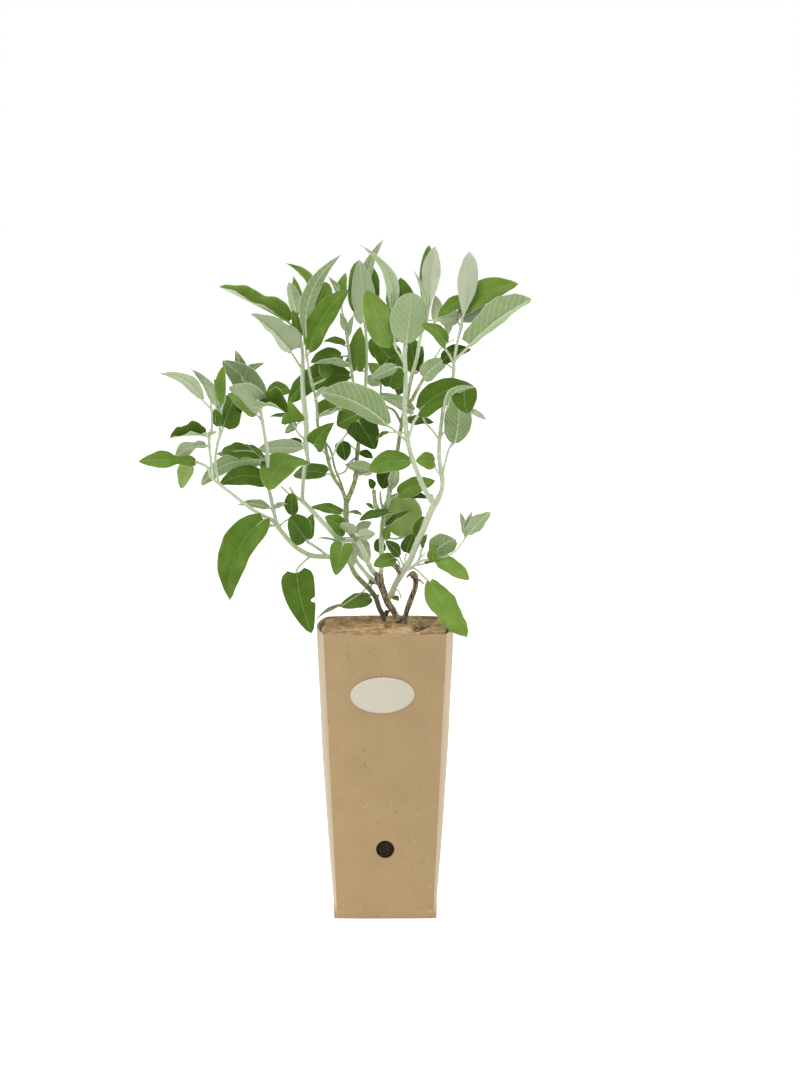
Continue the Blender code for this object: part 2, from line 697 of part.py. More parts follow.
# Stem that forks off the tall left one and fills the middle
CENTRE_STEMS = [
    Stem([(-24, 318, 3), (-30, 326, 4), (-33, 335, 5), (-33, 342, 6), (-33, 352, 7)], 2.4, 2.3),
    Stem(
        [
            (-33, 350, 7), (-35, 358, 7), (-38, 364, 6), (-43, 371, 4), (-47, 382, 3), (-51, 400, 1),
            (-54, 408, 0), (-57, 417, -2), (-57.5, 430, -4), (-59, 441, -5), (-63, 458, -6),
            (-66.5, 478, -6), (-66, 495, -6),
        ],
        1.7, 1.0,
    ),
    Stem([(-34.5, 357, 7), (-37, 366, 9), (-42.5, 380, 9), (-46, 395, 8), (-52, 404, 1)], 1.0, 0.9),
    Stem(
        [
            (-33, 350, 7), (-28, 362, 9), (-25, 372, 10), (-23, 396, 12), (-20, 415, 13), (-17, 440, 14),
            (-15.3, 480, 14), (-17.5, 514, 12),
        ],
        2.3, 1.2,
    ),
    Stem([(-18, 430, 13), (-25, 445, 12), (-28.5, 465, 9), (-31.5, 487, 7), (-34, 505, 6)], 1.4, 0.9),
    Stem([(-43.5, 372, 4), (-40, 374.6, -3), (-34, 377, -3), (-29.5, 385, 6), (-24, 389, 11)], 0.7, 0.7),
]
CENTRE_LEAVES = [
    Leaf((-33, 343), (-30, 343, 3), (-19.5, 339.5, -3), 9, 28),
    Leaf((-33, 342), (-37.5, 341.5, 8), (-63, 346.8, 18), 15, 28),
    Leaf((-31, 328), (-34, 326, -1), (-51.5, 338.5, -10), 18, 60),
    Leaf((-29, 325), (-26, 325, -3), (-38, 333, -13), 11, -60),
    Leaf((-27, 322), (-23, 322, -1), (-8, 324, -6), 11, -70),
    Leaf((-30, 326), (-25, 325, 6), (-11, 334, 8), 11, -60),
    Leaf((-65.5, 474), (-63, 479, -8), (-30.5, 531, -18), 26, 55, sway=0.05),
    Leaf((-66, 486), (-67, 489, -8), (-36.5, 560, -16), 16, -60, sway=0.09),
    Leaf((-66, 495), (-62, 531, 0), (-81, 551, 4), 8, 35, via=((-64, 512, -3),)),
    Leaf((-66, 494), (-60, 512, -3), (-46, 533, 2), 14, 60, via=((-64, 503, -4),)),
    Leaf((-66, 492), (-41, 516, -4), (-32.5, 544, -2), 10, 45, via=((-54, 504, -6),)),
    Leaf((-58.5, 438), (-58, 440, -9), (-46, 448, -12), 8, -30, arch=0.2),
    Leaf((-27.5, 457), (-31, 457, 9), (-67, 454, 1), 18, 60),
    Leaf((-30, 475), (-38, 475, 8), (-63, 469, 2), 15, 60),
    Leaf((-28.5, 463), (-32, 465, 13), (-60, 468.5, 10), 13, -28, arch=0.12),
    Leaf((-31, 483), (-34, 484, 10), (-52, 487, 13), 9, 40),
    Leaf((-57.5, 428), (-55, 430, -2), (-36, 431, 4), 15, 50),
    Leaf((-57.3, 422), (-55, 424, -6), (-36, 429.5, -7), 9, -30),
    Leaf((-48.5, 389), (-60, 399, -2), (-42.5, 419, -6), 17, 65, via=((-54, 396, -1),)),
    Leaf((-44, 374), (-50, 375.5, 12), (-78, 374, 54), 17, 50),
    Leaf((-23, 394), (-37, 402, 4), (-33.5, 386, 1), 14, 75, via=((-29, 399, 7), (-35, 403, 5))),
    Leaf((-25, 373), (-23, 375, 7), (-9, 384, 2), 13, -60),
    Leaf((-23, 395), (-21, 394, 9), (-10, 388, 4), 9, 50),
    Leaf((-19, 424), (-22, 426, 9), (-41, 416, 0), 24, 75),
    Leaf(
        (-47.5, 387), (-22.5, 420, -5), (-8, 396, -8), 28, 80,
        via=((-44, 391, -1), (-40, 400, -3), (-36, 404.5, -4), (-30, 412, -5)),
    ),
    Leaf((-16, 505), (-17, 507, 9), (-21.5, 554.5, 2), 28, -75),
    Leaf((-17, 510), (-15, 512, 16), (-12, 549, 22), 21, 70),
    Leaf((-16, 464), (-18, 466, 11), (-27, 488, 7), 11, -60),
    Leaf((-33, 494), (-33, 496, 5), (-38, 512, 3), 8, -60),
    Leaf((-32, 489), (-31, 491, 9), (-26, 510, 11), 7, -50),
    Leaf((-17.5, 513), (-17, 530, 14), (-1, 571.5, 10), 11, -42, via=((-18, 521, 14),), sway=0.06),
]

# Short woolly shoot beside the cut trunk, with a low leaf that leans out over the left rim
WOOLLY_STEMS = [
    Stem(
        [
            (-3.5, 280, 9.5), (-9, 283, 11), (-13, 286, 13), (-18, 292, 16), (-24, 300, 18), (-27, 308, 19),
            (-27, 317, 20), (-26, 323, 22),
        ],
        2.0, 1.4,
    ),
]
WOOLLY_LEAVES = [
    Leaf((-26, 322), (-24, 321, 24), (-14, 297, 24), 15, -75),
    Leaf((-27, 316), (-29, 315, 17), (-28, 294, 14), 10, -75),
    Leaf((-9, 283), (-10, 282.5, 8), (-14, 281, 3), 6, 60),
    Leaf((-11, 284.5), (-13, 269, 23), (-39, 261, 14), 17, 50, sway=-0.06, via=((-12, 278, 21),)),
    Leaf((-12, 286), (-36, 263, 14), (-60.5, 248, 3), 7, -30, via=((-17, 276, 22),), arch=0.1),
]

# Dark upright stem behind the cut trunk
UPRIGHT_STEMS = [
    Stem(
        [
            (-4, 284, 10), (-3.5, 289, 13), (-3, 296, 15), (-3, 319, 16), (-1, 342, 18), (2.5, 353, 19),
            (7, 375, 20), (11, 397, 19), (13, 411, 17), (15.5, 424, 14), (18.5, 436, 12), (22, 455, 12),
            (27, 473, 12), (30.5, 493, 12), (35, 505, 12), (38, 520, 12),
        ],
        2.1, 1.5,
    ),
    Stem([(18, 434, 12), (23, 438, 12), (26, 444, 12), (34, 458, 12)], 1.9, 1.5),
    Stem([(-1.5, 340, 18), (-7.5, 347, 15), (-9, 355, 14), (-9.5, 361, 14)], 1.9, 1.6),
    Stem([(-1, 343, 18), (-3.5, 352, 14), (-4, 360, 12)], 1.1, 0.9),
    Stem([(0, 345, 18), (2.5, 352, 12), (4, 363, 10), (6, 367.5, 9)], 2.3, 1.6),
    Stem(
        [(14, 418, 15), (8, 428.5, 14), (1, 432.5, 14), (-2, 438, 13), (-3.5, 446, 12), (-3, 455, 12)],
        1.2, 0.8,
    ),
    Stem([(33, 456, 12), (38, 468, 11), (44, 476, 9), (47.5, 482, 8), (51, 485, 6), (59, 489, 4)], 1.0, 0.6),
]
UPRIGHT_LEAVES = [
    Leaf((-1, 342), (4.5, 342.5, 10), (-22, 335, 2), 15, 25, via=((2, 344, 13),)),
    Leaf((-7.5, 347), (-10, 346, 13), (-17, 349.5, 10), 7, 35),
    Leaf((-3, 306), (-4, 308, 18), (-6, 320, 22), 11, 70),
    Leaf((-2.5, 317), (0, 319, 12), (4, 331, 6), 9, 60),
    Leaf((7.5, 377), (3, 378, 24), (-2, 363, 28), 12, 80),
    Leaf((-9.5, 361), (-9.5, 363, 12), (-14, 371, 8), 8, 60),
    Leaf((4.5, 361), (6.5, 363, 14), (11, 382, 9), 11, -60),
    Leaf((1, 350), (12, 358, 15), (43, 369, 10), 19, -52, via=((6, 354, 17),)),
    Leaf((2, 352), (13, 357, 18), (37, 354, 13), 13, 35, via=((7, 355, 18),)),
    Leaf((-1.5, 331), (1, 331, 12), (22, 343, 6), 13, 25),
    Leaf((-2.5, 322), (17, 322.5, 26), (10, 357, 31), 28, 80, via=((7, 319.5, 23),)),
    Leaf((-3, 455), (-3.5, 458, 12), (-11, 467, 8), 9.6, 40),
    Leaf((-3, 451), (-4, 452, 11), (-15, 459, 7), 12, -50),
    Leaf((-3, 455), (-8, 470, 25), (-4, 491, 27), 14, 75, via=((-5, 462, 20),)),
    Leaf((22, 456), (22, 464, 15), (24, 489, 18), 12, 70),
    Leaf((24, 461), (28, 464, 14), (32, 483, 16), 9.6, 55),
    Leaf((15, 422), (24, 428.5, 17), (-6.5, 443, 24), 14, -55, via=((21, 424, 16),)),
    Leaf((34, 458), (35, 459, 13), (52, 471, 14), 12, -50),
    Leaf((38, 519), (38.5, 521, 11), (42, 565, 9), 17, -75),
    Leaf((38, 517), (38, 519, 16), (38, 566, 19), 17, 70),
    Leaf((36.5, 512), (36, 515, 10), (24.5, 545, 7), 8, -35),
    Leaf((35, 505), (41, 508, 8), (43.5, 525, 5), 9.6, -60),
]

# Pale stem from the side of the cut trunk to the right, forked into two tall ends
RIGHT_STEMS = [
    Stem(
        [
            (1.2, 267.5, 12), (5, 271, 9), (8, 278, 6), (11, 284, 3), (17, 294, 0), (22, 302, -2),
            (25, 310, -4), (33, 328, -8), (36, 336, -9), (42, 349.5, -11),
        ],
        2.4, 2.9,
    ),
    Stem(
        [
            (42, 348, -11), (36, 357.5, -12), (30, 370, -12), (23.5, 387, -11), (20, 400, -10),
            (18, 412, -9), (16.8, 425, -8), (17.5, 455, -8), (16.8, 475, -8), (17.5, 484, -8),
        ],
        2.2, 1.7,
    ),
    Stem(
        [
            (42, 347, -11), (45, 352, -13), (48, 360, -14), (49, 368, -14), (46.5, 385, -13),
            (46, 395, -12), (46.5, 405, -11), (49, 428, -8), (51, 441, -6), (57.5, 457, -5),
            (58.5, 471, -5),
        ],
        2.1, 1.4,
    ),
    Stem([(42, 348, -11), (45.5, 357, -16)], 1.8, 1.4),
    Stem([(42, 348, -11), (39.5, 357, -15)], 1.6, 1.2),
    Stem([(13.5, 289.5, 1), (9, 297, -1), (5, 298.5, -2)], 2.3, 2.4),
    Stem([(17, 468, -8), (12, 477, -8), (9, 483, -8), (6.5, 508, -6)], 1.2, 0.8),
    Stem([(19.5, 402, -10), (22, 412, -12), (24, 418, -14), (29, 426, -16)], 1.1, 1.0),
    Stem([(58.5, 470, -5), (61.5, 488, -6), (64.5, 500, -6), (65, 508, -6)], 1.2, 1.1),
    Stem([(58, 468, -5), (55, 475, -6), (50, 482, -8)], 1.1, 0.9),
    Stem([(58.5, 470, -5), (62, 474, -6), (71, 483, -8)], 1.2, 1.0),
    Stem([(46.4, 403, -11), (40, 412.5, -10), (35, 417.5, -8), (30.5, 426, -6)], 0.8, 0.7),
    Stem([(46.4, 405, -11), (51.5, 412.5, -12)], 0.7, 0.6),
    Stem([(49, 370, -14), (50, 379, -15), (54, 395, -17), (57, 400, -18)], 1.1, 0.9),
    Stem([(49, 428, -8), (50, 431, -28), (52, 440, -30), (56, 446, -31), (66, 447.5, -33)], 1.2, 0.9),
    Stem([(8, 277, 6), (12, 274, 2), (14, 268, 1)], 0.7, 0.6),
]
RIGHT_LEAVES = [
    Leaf((13, 288), (8, 303, -7), (-10, 296, -13), 14, 65, via=((12, 299, -6),)),
    Leaf((17, 294), (12.5, 305, -7), (0, 318, -12), 12, 60, via=((14, 300, -5),)),
    Leaf((18, 296), (18.5, 308, 3), (24, 324, 9), 14, 70, via=((17, 302, 2),)),
    Leaf((6, 273), (7, 270, 6), (12, 266, 2), 6, 60),
    Leaf((29, 319), (28, 321, 1), (33, 339, 8), 12, 70),
    Leaf((23.5, 387), (21, 386, -13), (-14, 378, -18), 21, 55, arch=0.16),
    Leaf(
        (20, 401), (2.5, 416.5, -19), (-53.5, 444, -28), 25, -68,
        via=((16, 405, -12), (7, 413, -17)), sway=0.11,
    ),
    Leaf((12, 409), (3, 411, -21), (-7, 404.5, -25), 10, 22),
    Leaf((17.5, 484), (18, 486, -10), (22, 528, -18), 32, -78, sway=-0.03),
    Leaf((9, 483), (8, 487, -10), (-16, 530, -15), 23, 70, sway=-0.04),
    Leaf((6.5, 508), (8, 511, -8), (10, 541, -11), 7, -50),
    Leaf((6.5, 508), (6, 513, -3), (6, 545, 2), 10, 45),
    Leaf((17.5, 484), (18, 500, -2), (13, 541, 4), 22, 70, via=((18, 492, -5),)),
    Leaf((6.5, 506), (6, 511, -7), (-20.5, 568, -9), 15, -45, sway=0.17),
    Leaf((11, 479), (9.5, 478, -10), (-10, 470, -14), 14, 60),
    Leaf((17.5, 456), (5, 449, -5), (10.5, 475.5, -2), 21, 80, via=((11, 451, -7),)),
    Leaf((17.4, 455), (15, 454, -4), (11, 441.5, -1), 10, 75),
    Leaf((17.4, 418), (20, 419.5, -4), (42, 418.5, 2), 15, 30),
    Leaf((50, 482), (50, 485, -10), (31, 502, -15), 15, 50, arch=0.14),
    Leaf((65, 508), (66.5, 510, -8), (71, 561.5, -13), 17, -75, sway=-0.05),
    Leaf((65, 507), (66, 511, -2), (75, 555, 4), 17, 65),
    Leaf((65, 508), (67.5, 514, -9), (112.5, 535.5, -17), 23, 60, sway=0.05),
    Leaf((71, 483), (71, 485.5, -9), (123.5, 523, -19), 24, -70, sway=0.09),
    Leaf((65, 508), (62, 516, -4), (44.5, 506.5, -9), 11, 40),
    Leaf((65, 507), (63, 507, -9), (45, 504, -13), 13, -50),
    Leaf((64.5, 499), (57, 504, -3), (53.5, 493, -3), 8, -70),
    Leaf((58.2, 464), (52, 471, 1), (69, 480, 4), 14, 70),
    Leaf((29, 426), (29.5, 429, -17), (75, 450, -27), 26, 62, sway=0.08),
    Leaf((66, 447.5), (66, 448, -34), (70.5, 427, -39), 24, 80, sway=-0.1),
    Leaf((57, 400), (59, 401.5, -19), (62, 438.8, -17), 24, -80, sway=-0.06),
    Leaf((66, 447.5), (71, 429, -33), (86.5, 420.3, -38), 9.6, -30, via=((69, 439, -31),)),
    Leaf((48.5, 371), (42, 385, -20), (27.5, 385.5, -22), 18, 55, via=((46, 375, -17), (43, 380, -19))),
]

# Low shoot to the right, from the pale stem's first node
LOW_RIGHT_STEMS = [
    Stem([(16.5, 293, 0), (20.5, 293.5, -4), (25, 297, -7), (29, 302, -9), (31, 310, -10)], 1.3, 1.0),
    Stem([(25, 296.5, -7), (31, 300.5, -10), (36, 301.5, -12), (43, 302.5, -14)], 1.1, 0.9),
    Stem([(42, 302.5, -14), (54, 305, -16), (62, 311, -18), (69, 321, -20)], 0.8, 0.6),
    Stem([(28, 301, -8), (34, 307, -11)], 0.7, 0.6),
]
LOW_RIGHT_LEAVES = [
    Leaf((31, 310), (31.5, 311.5, -11), (36.5, 324, -14), 7, 38),
    Leaf((39, 302), (40.5, 305, -14), (60, 319, -20), 23, 62, sway=0.08),
    Leaf((43, 302.5), (44, 302, -16), (72, 284, -22), 17, 55),
    Leaf((24, 296), (33, 298.5, -6), (43, 299.5, -8), 7, 25),
    Leaf(
        (22, 295), (38.5, 282.5, -14), (70.5, 234.5, -40), 22, 70, sway=-0.07,
        via=((27, 293, -8), (33, 287, -11)),
    ),
    Leaf((69, 321), (69, 322, -20), (74.5, 343.5, -22), 8, -50),
    Leaf((69, 320), (68, 323, -18), (63.5, 342.5, -14), 8, 45),
    Leaf((69, 321), (71, 324, -21), (90, 342.5, -26), 13, 50),
]


clear_scene()
parts = new_collection("potted_sage")
cutters = new_collection("cutters")
carton_pot()
name_label()
growing_medium()
fibre_mat()
woody_crown()
sage = material("sage_foliage", (0.16, 0.27, 0.08), 0.7)
woolly = material("woolly_foliage", (0.42, 0.48, 0.33), 0.9)
leafy_stem("low_left_stem", LOW_LEFT_STEMS, LOW_LEFT_LEAVES, sage, lean=-45)
leafy_stem(
    "tall_left_stem", TALL_LEFT_STEMS, TALL_LEFT_LEAVES, sage, lean=45, butts=[TRUNK_TOP, KNOT]
)
leafy_stem(
    "centre_stem", CENTRE_STEMS, CENTRE_LEAVES, sage, lean=22,
    butts=[lean_stem(TALL_LEFT_STEMS[0], 45)],
)
leafy_stem("woolly_shoot", WOOLLY_STEMS, WOOLLY_LEAVES, woolly, butts=[TRUNK_TOP, KNOT])
leafy_stem(
    "upright_stem", UPRIGHT_STEMS, UPRIGHT_LEAVES, sage, lean=60, butts=[TRUNK_TOP, KNOT]
)
leafy_stem("right_stem", RIGHT_STEMS, RIGHT_LEAVES, sage, lean=-45, butts=[TRUNK_TOP, KNOT])
leafy_stem(
    "low_right_shoot", LOW_RIGHT_STEMS, LOW_RIGHT_LEAVES, sage,
    butts=[lean_stem(RIGHT_STEMS[0], -45)],
)
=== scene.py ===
import math
import random
from collections import namedtuple

import bmesh
import bpy
from mathutils import Matrix, Vector, noise


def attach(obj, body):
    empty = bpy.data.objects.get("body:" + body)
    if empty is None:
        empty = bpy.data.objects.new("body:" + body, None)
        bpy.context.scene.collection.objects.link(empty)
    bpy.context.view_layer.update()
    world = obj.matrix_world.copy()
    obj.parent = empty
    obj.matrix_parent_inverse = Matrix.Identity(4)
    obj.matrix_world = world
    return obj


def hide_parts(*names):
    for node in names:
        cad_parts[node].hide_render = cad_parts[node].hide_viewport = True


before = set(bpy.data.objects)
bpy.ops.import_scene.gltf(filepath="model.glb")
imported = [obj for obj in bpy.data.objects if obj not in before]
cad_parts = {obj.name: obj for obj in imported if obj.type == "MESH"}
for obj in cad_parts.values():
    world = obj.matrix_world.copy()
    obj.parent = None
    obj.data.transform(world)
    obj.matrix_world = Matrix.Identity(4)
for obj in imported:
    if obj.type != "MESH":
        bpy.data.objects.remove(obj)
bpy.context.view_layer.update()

# Studio: a white paper sweep under the pot, soft light from all of the ceiling, a tall strip box on
# each side and a large box in front. The camera stands 2 m away, level with the top leaves, and
# looks a little down at the whole plant, as for a catalogue picture.
EYE = Vector((0.0, -2.0, 0.548))
AIM = Vector((0.0128, 0.0, 0.324))
FRAME_TALL = 0.909
SENSOR = 36.0
POT_TOP = Vector((0, 0, 0.25))
WHITE = (1, 1, 1, 1)
SWEEP_GLOW = 0.12
SWEEP_GLOW_SEEN = 0.42


def linear(code):
    """Linear colour of an sRGB hex code, with an alpha of 1."""
    shares = [int(code[i:i + 2], 16) / 255 for i in (1, 3, 5)]
    return (*(c / 12.92 if c <= 0.04045 else ((c + 0.055) / 1.055) ** 2.4 for c in shares), 1)


def add_node(tree, kind, links=(), stops=(), **settings):
    """Adds one node: links as (input, source), a ramp's stops as (position, hex code), settings by
    name, and an input's value as in_NAME or in_NUMBER."""
    node = tree.nodes.new(kind)
    for key, value in settings.items():
        if key.startswith("in_"):
            name = key[3:].replace("_", " ")
            node.inputs[int(name) if name.isdigit() else name].default_value = value
        else:
            setattr(node, key, value)
    for position, code in stops[1:-1]:
        node.color_ramp.elements.new(position)
    for index, (position, code) in enumerate(stops):
        node.color_ramp.elements[index].position = position
        node.color_ramp.elements[index].color = linear(code)
    for socket, source in links:
        tree.links.new(source, node.inputs[socket])
    return node


def new_material(name, roughness, **settings):
    """A material with its shader set, and its tree, its shader and the object's coordinates."""
    made = bpy.data.materials.new(name)
    made.use_nodes = True
    tree = made.node_tree
    shader = tree.nodes["Principled BSDF"]
    shader.inputs["Roughness"].default_value = roughness
    for key, value in settings.items():
        shader.inputs[key.replace("_", " ")].default_value = value
    return made, tree, shader, add_node(tree, "ShaderNodeTexCoord").outputs["Object"]


def mesh_of(bm, name):
    """The finished bmesh as a mesh."""
    mesh = bpy.data.meshes.new(name)
    bm.to_mesh(mesh)
    bm.free()
    return mesh


def in_scene(name, data):
    """An object that holds the data, in the scene."""
    held = bpy.data.objects.new(name, data)
    bpy.context.scene.collection.objects.link(held)
    return held


def turned(way):
    """The rotation of a lamp or camera that looks this way."""
    return way.to_track_quat("-Z", "Y").to_euler()


lens = bpy.data.cameras.new("camera")
lens.sensor_width = SENSOR
lens.lens = SENSOR * (AIM - EYE).length / FRAME_TALL
lens.clip_end = 80
camera = in_scene("camera", lens)
camera.location = EYE
camera.rotation_euler = turned(AIM - EYE)
bpy.context.scene.camera = camera
bpy.context.scene.view_settings.view_transform = "Standard"

world = bpy.data.worlds.new("studio")
world.use_nodes = True
tree = world.node_tree
ambient = tree.nodes["Background"]
ambient.inputs["Color"].default_value = WHITE
ambient.inputs["Strength"].default_value = 0.32
backdrop = add_node(tree, "ShaderNodeBackground", in_Strength=1.0, in_Color=WHITE)
seen = add_node(tree, "ShaderNodeLightPath")
both = add_node(
    tree, "ShaderNodeMixShader",
    [(0, seen.outputs["Is Camera Ray"]), (1, ambient.outputs[0]), (2, backdrop.outputs[0])],
)
tree.links.new(both.outputs[0], tree.nodes["World Output"].inputs["Surface"])
bpy.context.scene.world = world
for name, spot, width, height, watts in (
    ("left_strip", (-1.3, 0.3, 0.5), 0.5, 1.4, 9),
    ("right_strip", (1.3, 0.3, 0.5), 0.5, 1.4, 12),
    ("front_fill", (0.2, -2.6, 1.0), 1.6, 1.2, 5),
):
    lamp = bpy.data.lights.new(name, "AREA")
    lamp.shape = "RECTANGLE"
    lamp.size = width
    lamp.size_y = height
    lamp.energy = watts
    box = in_scene(name, lamp)
    box.location = spot
    box.rotation_euler = turned(POT_TOP - Vector(spot))
canopy = bpy.data.lights.new("canopy", "SUN")
canopy.energy = 2.7
canopy.angle = math.radians(55)
in_scene("canopy", canopy).rotation_euler = turned(Vector((0.2, 0.45, -1)))

# Matt white paper, lit a little from below. It glows more where the camera looks at it, so that
# the ground is as white as the backdrop, right up to the pot's foot.
sweep_paper, tree, shader, place_in = new_material(
    "matt_white_paper", 0.9, Base_Color=(0.93, 0.93, 0.93, 1), Emission_Color=WHITE
)
seen = add_node(tree, "ShaderNodeLightPath")
glow = add_node(
    tree, "ShaderNodeMapRange", [("Value", seen.outputs["Is Camera Ray"])],
    in_To_Min=SWEEP_GLOW, in_To_Max=SWEEP_GLOW_SEEN,
)
tree.links.new(glow.outputs[0], shader.inputs["Emission Strength"])
bm = bmesh.new()
bmesh.ops.create_grid(bm, x_segments=1, y_segments=1, size=30)
floor = in_scene("floor", mesh_of(bm, "floor"))
floor.data.materials.append(sweep_paper)


# Carton pot: one blank of recycled kraft board, folded to four walls and glued, open at the top.
# The filling pushes the walls out between the creases. The foot has a folded hem, a little wider
# than the wall, and a round drain hole is punched in the front and the back.
POT_HEIGHT = 0.245
BASE_HALF = 0.043
BASE_OUT = 0.0438
TOP_OUT = 0.0575
BASE_BOW = 0.0031
TOP_BOW = 0.006
SWELL = 0.0024
BOARD = 0.0013
HEM_TOP = 0.0048
HEM_OUT = 0.0003
CREASE = 0.0005
DENT = 0.00035
FRAY = 0.0004
DRAIN_RADIUS = 0.0077
DRAIN_HEIGHT = 0.0613
WALL_STEPS = 60
SIDE_STEPS = 24


def new_piece(name, bm, materials, nodes=()):
    """Makes the bmesh a piece of the object: it rides on the one body and stands for the CAD nodes."""
    mesh = mesh_of(bm, name)
    for made in materials:
        mesh.materials.append(made)
    mesh.shade_smooth()
    piece = in_scene(name, mesh)
    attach(piece, "root")
    if nodes:
        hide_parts(*nodes)
    return piece


def wall_at(height):
    """Half width at the corner creases and the outward bow of each wall at this height."""
    share = height / POT_HEIGHT
    bow = BASE_BOW + (TOP_BOW - BASE_BOW) * share
    if height < HEM_TOP:
        bow = BASE_OUT - BASE_HALF
    swell = SWELL * math.sin(0.85 * math.pi * min(1.0, share) ** 0.8)
    return BASE_OUT + (TOP_OUT - BASE_OUT) * share - bow, bow + swell


def wall_place(x, y, height, out):
    """Point of the bowed square that a point of the unit square's outline stands for."""
    half, bow = wall_at(height)
    along = min(abs(x), abs(y))
    reach = half + out + bow * (1 - along ** 2) - CREASE * max(0.0, (along - 0.94) / 0.06) ** 2
    reach += DENT * noise.noise(Vector((x * 1.5, y * 1.5, height * 18)))
    if abs(x) > abs(y):
        return Vector((math.copysign(reach, x), y * (half + out), height))
    return Vector((x * (half + out), math.copysign(reach, y), height))


bm = bmesh.new()
bmesh.ops.create_grid(bm, x_segments=SIDE_STEPS, y_segments=SIDE_STEPS, size=1)
bmesh.ops.delete(bm, geom=bm.faces[:], context="FACES_ONLY")
inner = [v for v in bm.verts if max(abs(v.co.x), abs(v.co.y)) < 0.999]
bmesh.ops.delete(bm, geom=inner, context="VERTS")
ring = bm.edges[:]
bmesh.ops.contextual_create(bm, geom=ring)
for step in range(1, WALL_STEPS + 1):
    grown = bmesh.ops.extrude_edge_only(bm, edges=ring)["geom"]
    ring = [g for g in grown if isinstance(g, bmesh.types.BMEdge)]
    for vert in {v for e in ring for v in e.verts}:
        vert.co.z = step
for vert in bm.verts:
    rise = vert.co.z / WALL_STEPS
    height = POT_HEIGHT * (rise ** 1.6 * 0.5 + rise * 0.5)
    hem = HEM_OUT if height < HEM_TOP else 0.0
    if rise == 1:
        height += FRAY * noise.noise(Vector((vert.co.x * 9, vert.co.y * 9, 0)))
    vert.co = wall_place(vert.co.x, vert.co.y, height, hem)
bmesh.ops.recalc_face_normals(bm, faces=bm.faces)


def paint(tree, shader, colour, height=None, distance=0, strength=0):
    """Gives the shader its colour and, from a source of heights, a relief."""
    tree.links.new(colour, shader.inputs["Base Color"])
    if height:
        relief = add_node(
            tree, "ShaderNodeBump", [("Height", height)], in_Distance=distance, in_Strength=strength
        )
        tree.links.new(relief.outputs[0], shader.inputs["Normal"])


# Kraft board, uncoated: dull tan, clouded every 22 mm, with pale and brown flecks of old pulp in
# cells of 2 to 4 mm. Real fibres are finer, and are drawn 1.4 mm wide so that they show. Its fuzz
# catches the light where a wall turns away from the eye.
kraft, tree, shader, place_in = new_material(
    "kraft_board", 0.82, Sheen_Weight=0.4, Sheen_Roughness=0.4
)
clouds = add_node(tree, "ShaderNodeTexNoise", [("Vector", place_in)], in_Scale=45.0, in_Detail=4.0)
tint = add_node(
    tree, "ShaderNodeMapRange", [("Value", clouds.outputs["Fac"])], in_From_Min=0.3, in_From_Max=0.7
)
speckled = add_node(
    tree, "ShaderNodeMix", [("Factor", tint.outputs[0])], data_type="RGBA",
    in_6=linear("#9e855e"), in_7=linear("#a48b62"),
)
for turn, scale, rarity, share, code in (
    (0.4, 330.0, 0.82, 0.3, "#c6b592"),
    (1.3, 250.0, 0.86, 0.4, "#6d5538"),
    (2.2, 520.0, 0.6, 0.22, "#8a6f49"),
):
    bent = add_node(
        tree, "ShaderNodeTexNoise", [("Vector", place_in)], in_Scale=260.0, in_Detail=1.0
    )
    drift = add_node(
        tree, "ShaderNodeVectorMath", [(0, bent.outputs["Color"])], operation="SCALE", in_Scale=0.006
    )
    moved = add_node(
        tree, "ShaderNodeVectorMath", [(0, place_in), (1, drift.outputs[0])], operation="ADD"
    )
    laid = add_node(
        tree, "ShaderNodeMapping", [("Vector", moved.outputs[0])], in_Rotation=(turn, turn, 0),
        in_Scale=(1, 1, 0.4),
    )
    cell = add_node(tree, "ShaderNodeTexVoronoi", [("Vector", laid.outputs[0])], in_Scale=scale)
    chosen = add_node(tree, "ShaderNodeSeparateColor", [("Color", cell.outputs["Color"])])
    kept = add_node(
        tree, "ShaderNodeMath", [(0, chosen.outputs[0])], operation="GREATER_THAN", in_1=rarity
    )
    speck = add_node(
        tree, "ShaderNodeMapRange", [("Value", cell.outputs["Distance"])],
        in_From_Min=0.26, in_From_Max=0.16, in_To_Max=share,
    )
    amount = add_node(
        tree, "ShaderNodeMath", [(0, kept.outputs[0]), (1, speck.outputs[0])], operation="MULTIPLY"
    )
    speckled = add_node(
        tree, "ShaderNodeMix", [("Factor", amount.outputs[0]), (6, speckled.outputs[2])],
        data_type="RGBA", in_7=linear(code),
    )
fibres = add_node(tree, "ShaderNodeTexNoise", [("Vector", place_in)], in_Scale=700.0, in_Detail=3.0)
paint(tree, shader, speckled.outputs[2], fibres.outputs["Fac"], 0.0002, 0.35)

pot = new_piece("carton_walls", bm, [kraft], ["carton_pot"])
board = pot.modifiers.new("board", "SOLIDIFY")
board.thickness = BOARD
board.offset = -1
board.use_even_offset = True
bm = bmesh.new()
bmesh.ops.create_cone(
    bm, cap_ends=True, segments=48, radius1=DRAIN_RADIUS, radius2=DRAIN_RADIUS, depth=4 * TOP_OUT,
    matrix=Matrix.Translation((0, 0, DRAIN_HEIGHT)) @ Matrix.Rotation(math.pi / 2, 4, "X"),
)
punch = in_scene("punch", mesh_of(bm, "punch"))
drain = pot.modifiers.new("drain", "BOOLEAN")
drain.operation = "DIFFERENCE"
drain.solver = "EXACT"
drain.object = punch
graph = bpy.context.evaluated_depsgraph_get()
cut_mesh = bpy.data.meshes.new_from_object(pot.evaluated_get(graph))
pot.modifiers.clear()
pot.data = cut_mesh
cut_mesh.set_sharp_from_angle(angle=math.radians(40))
bpy.data.objects.remove(punch)


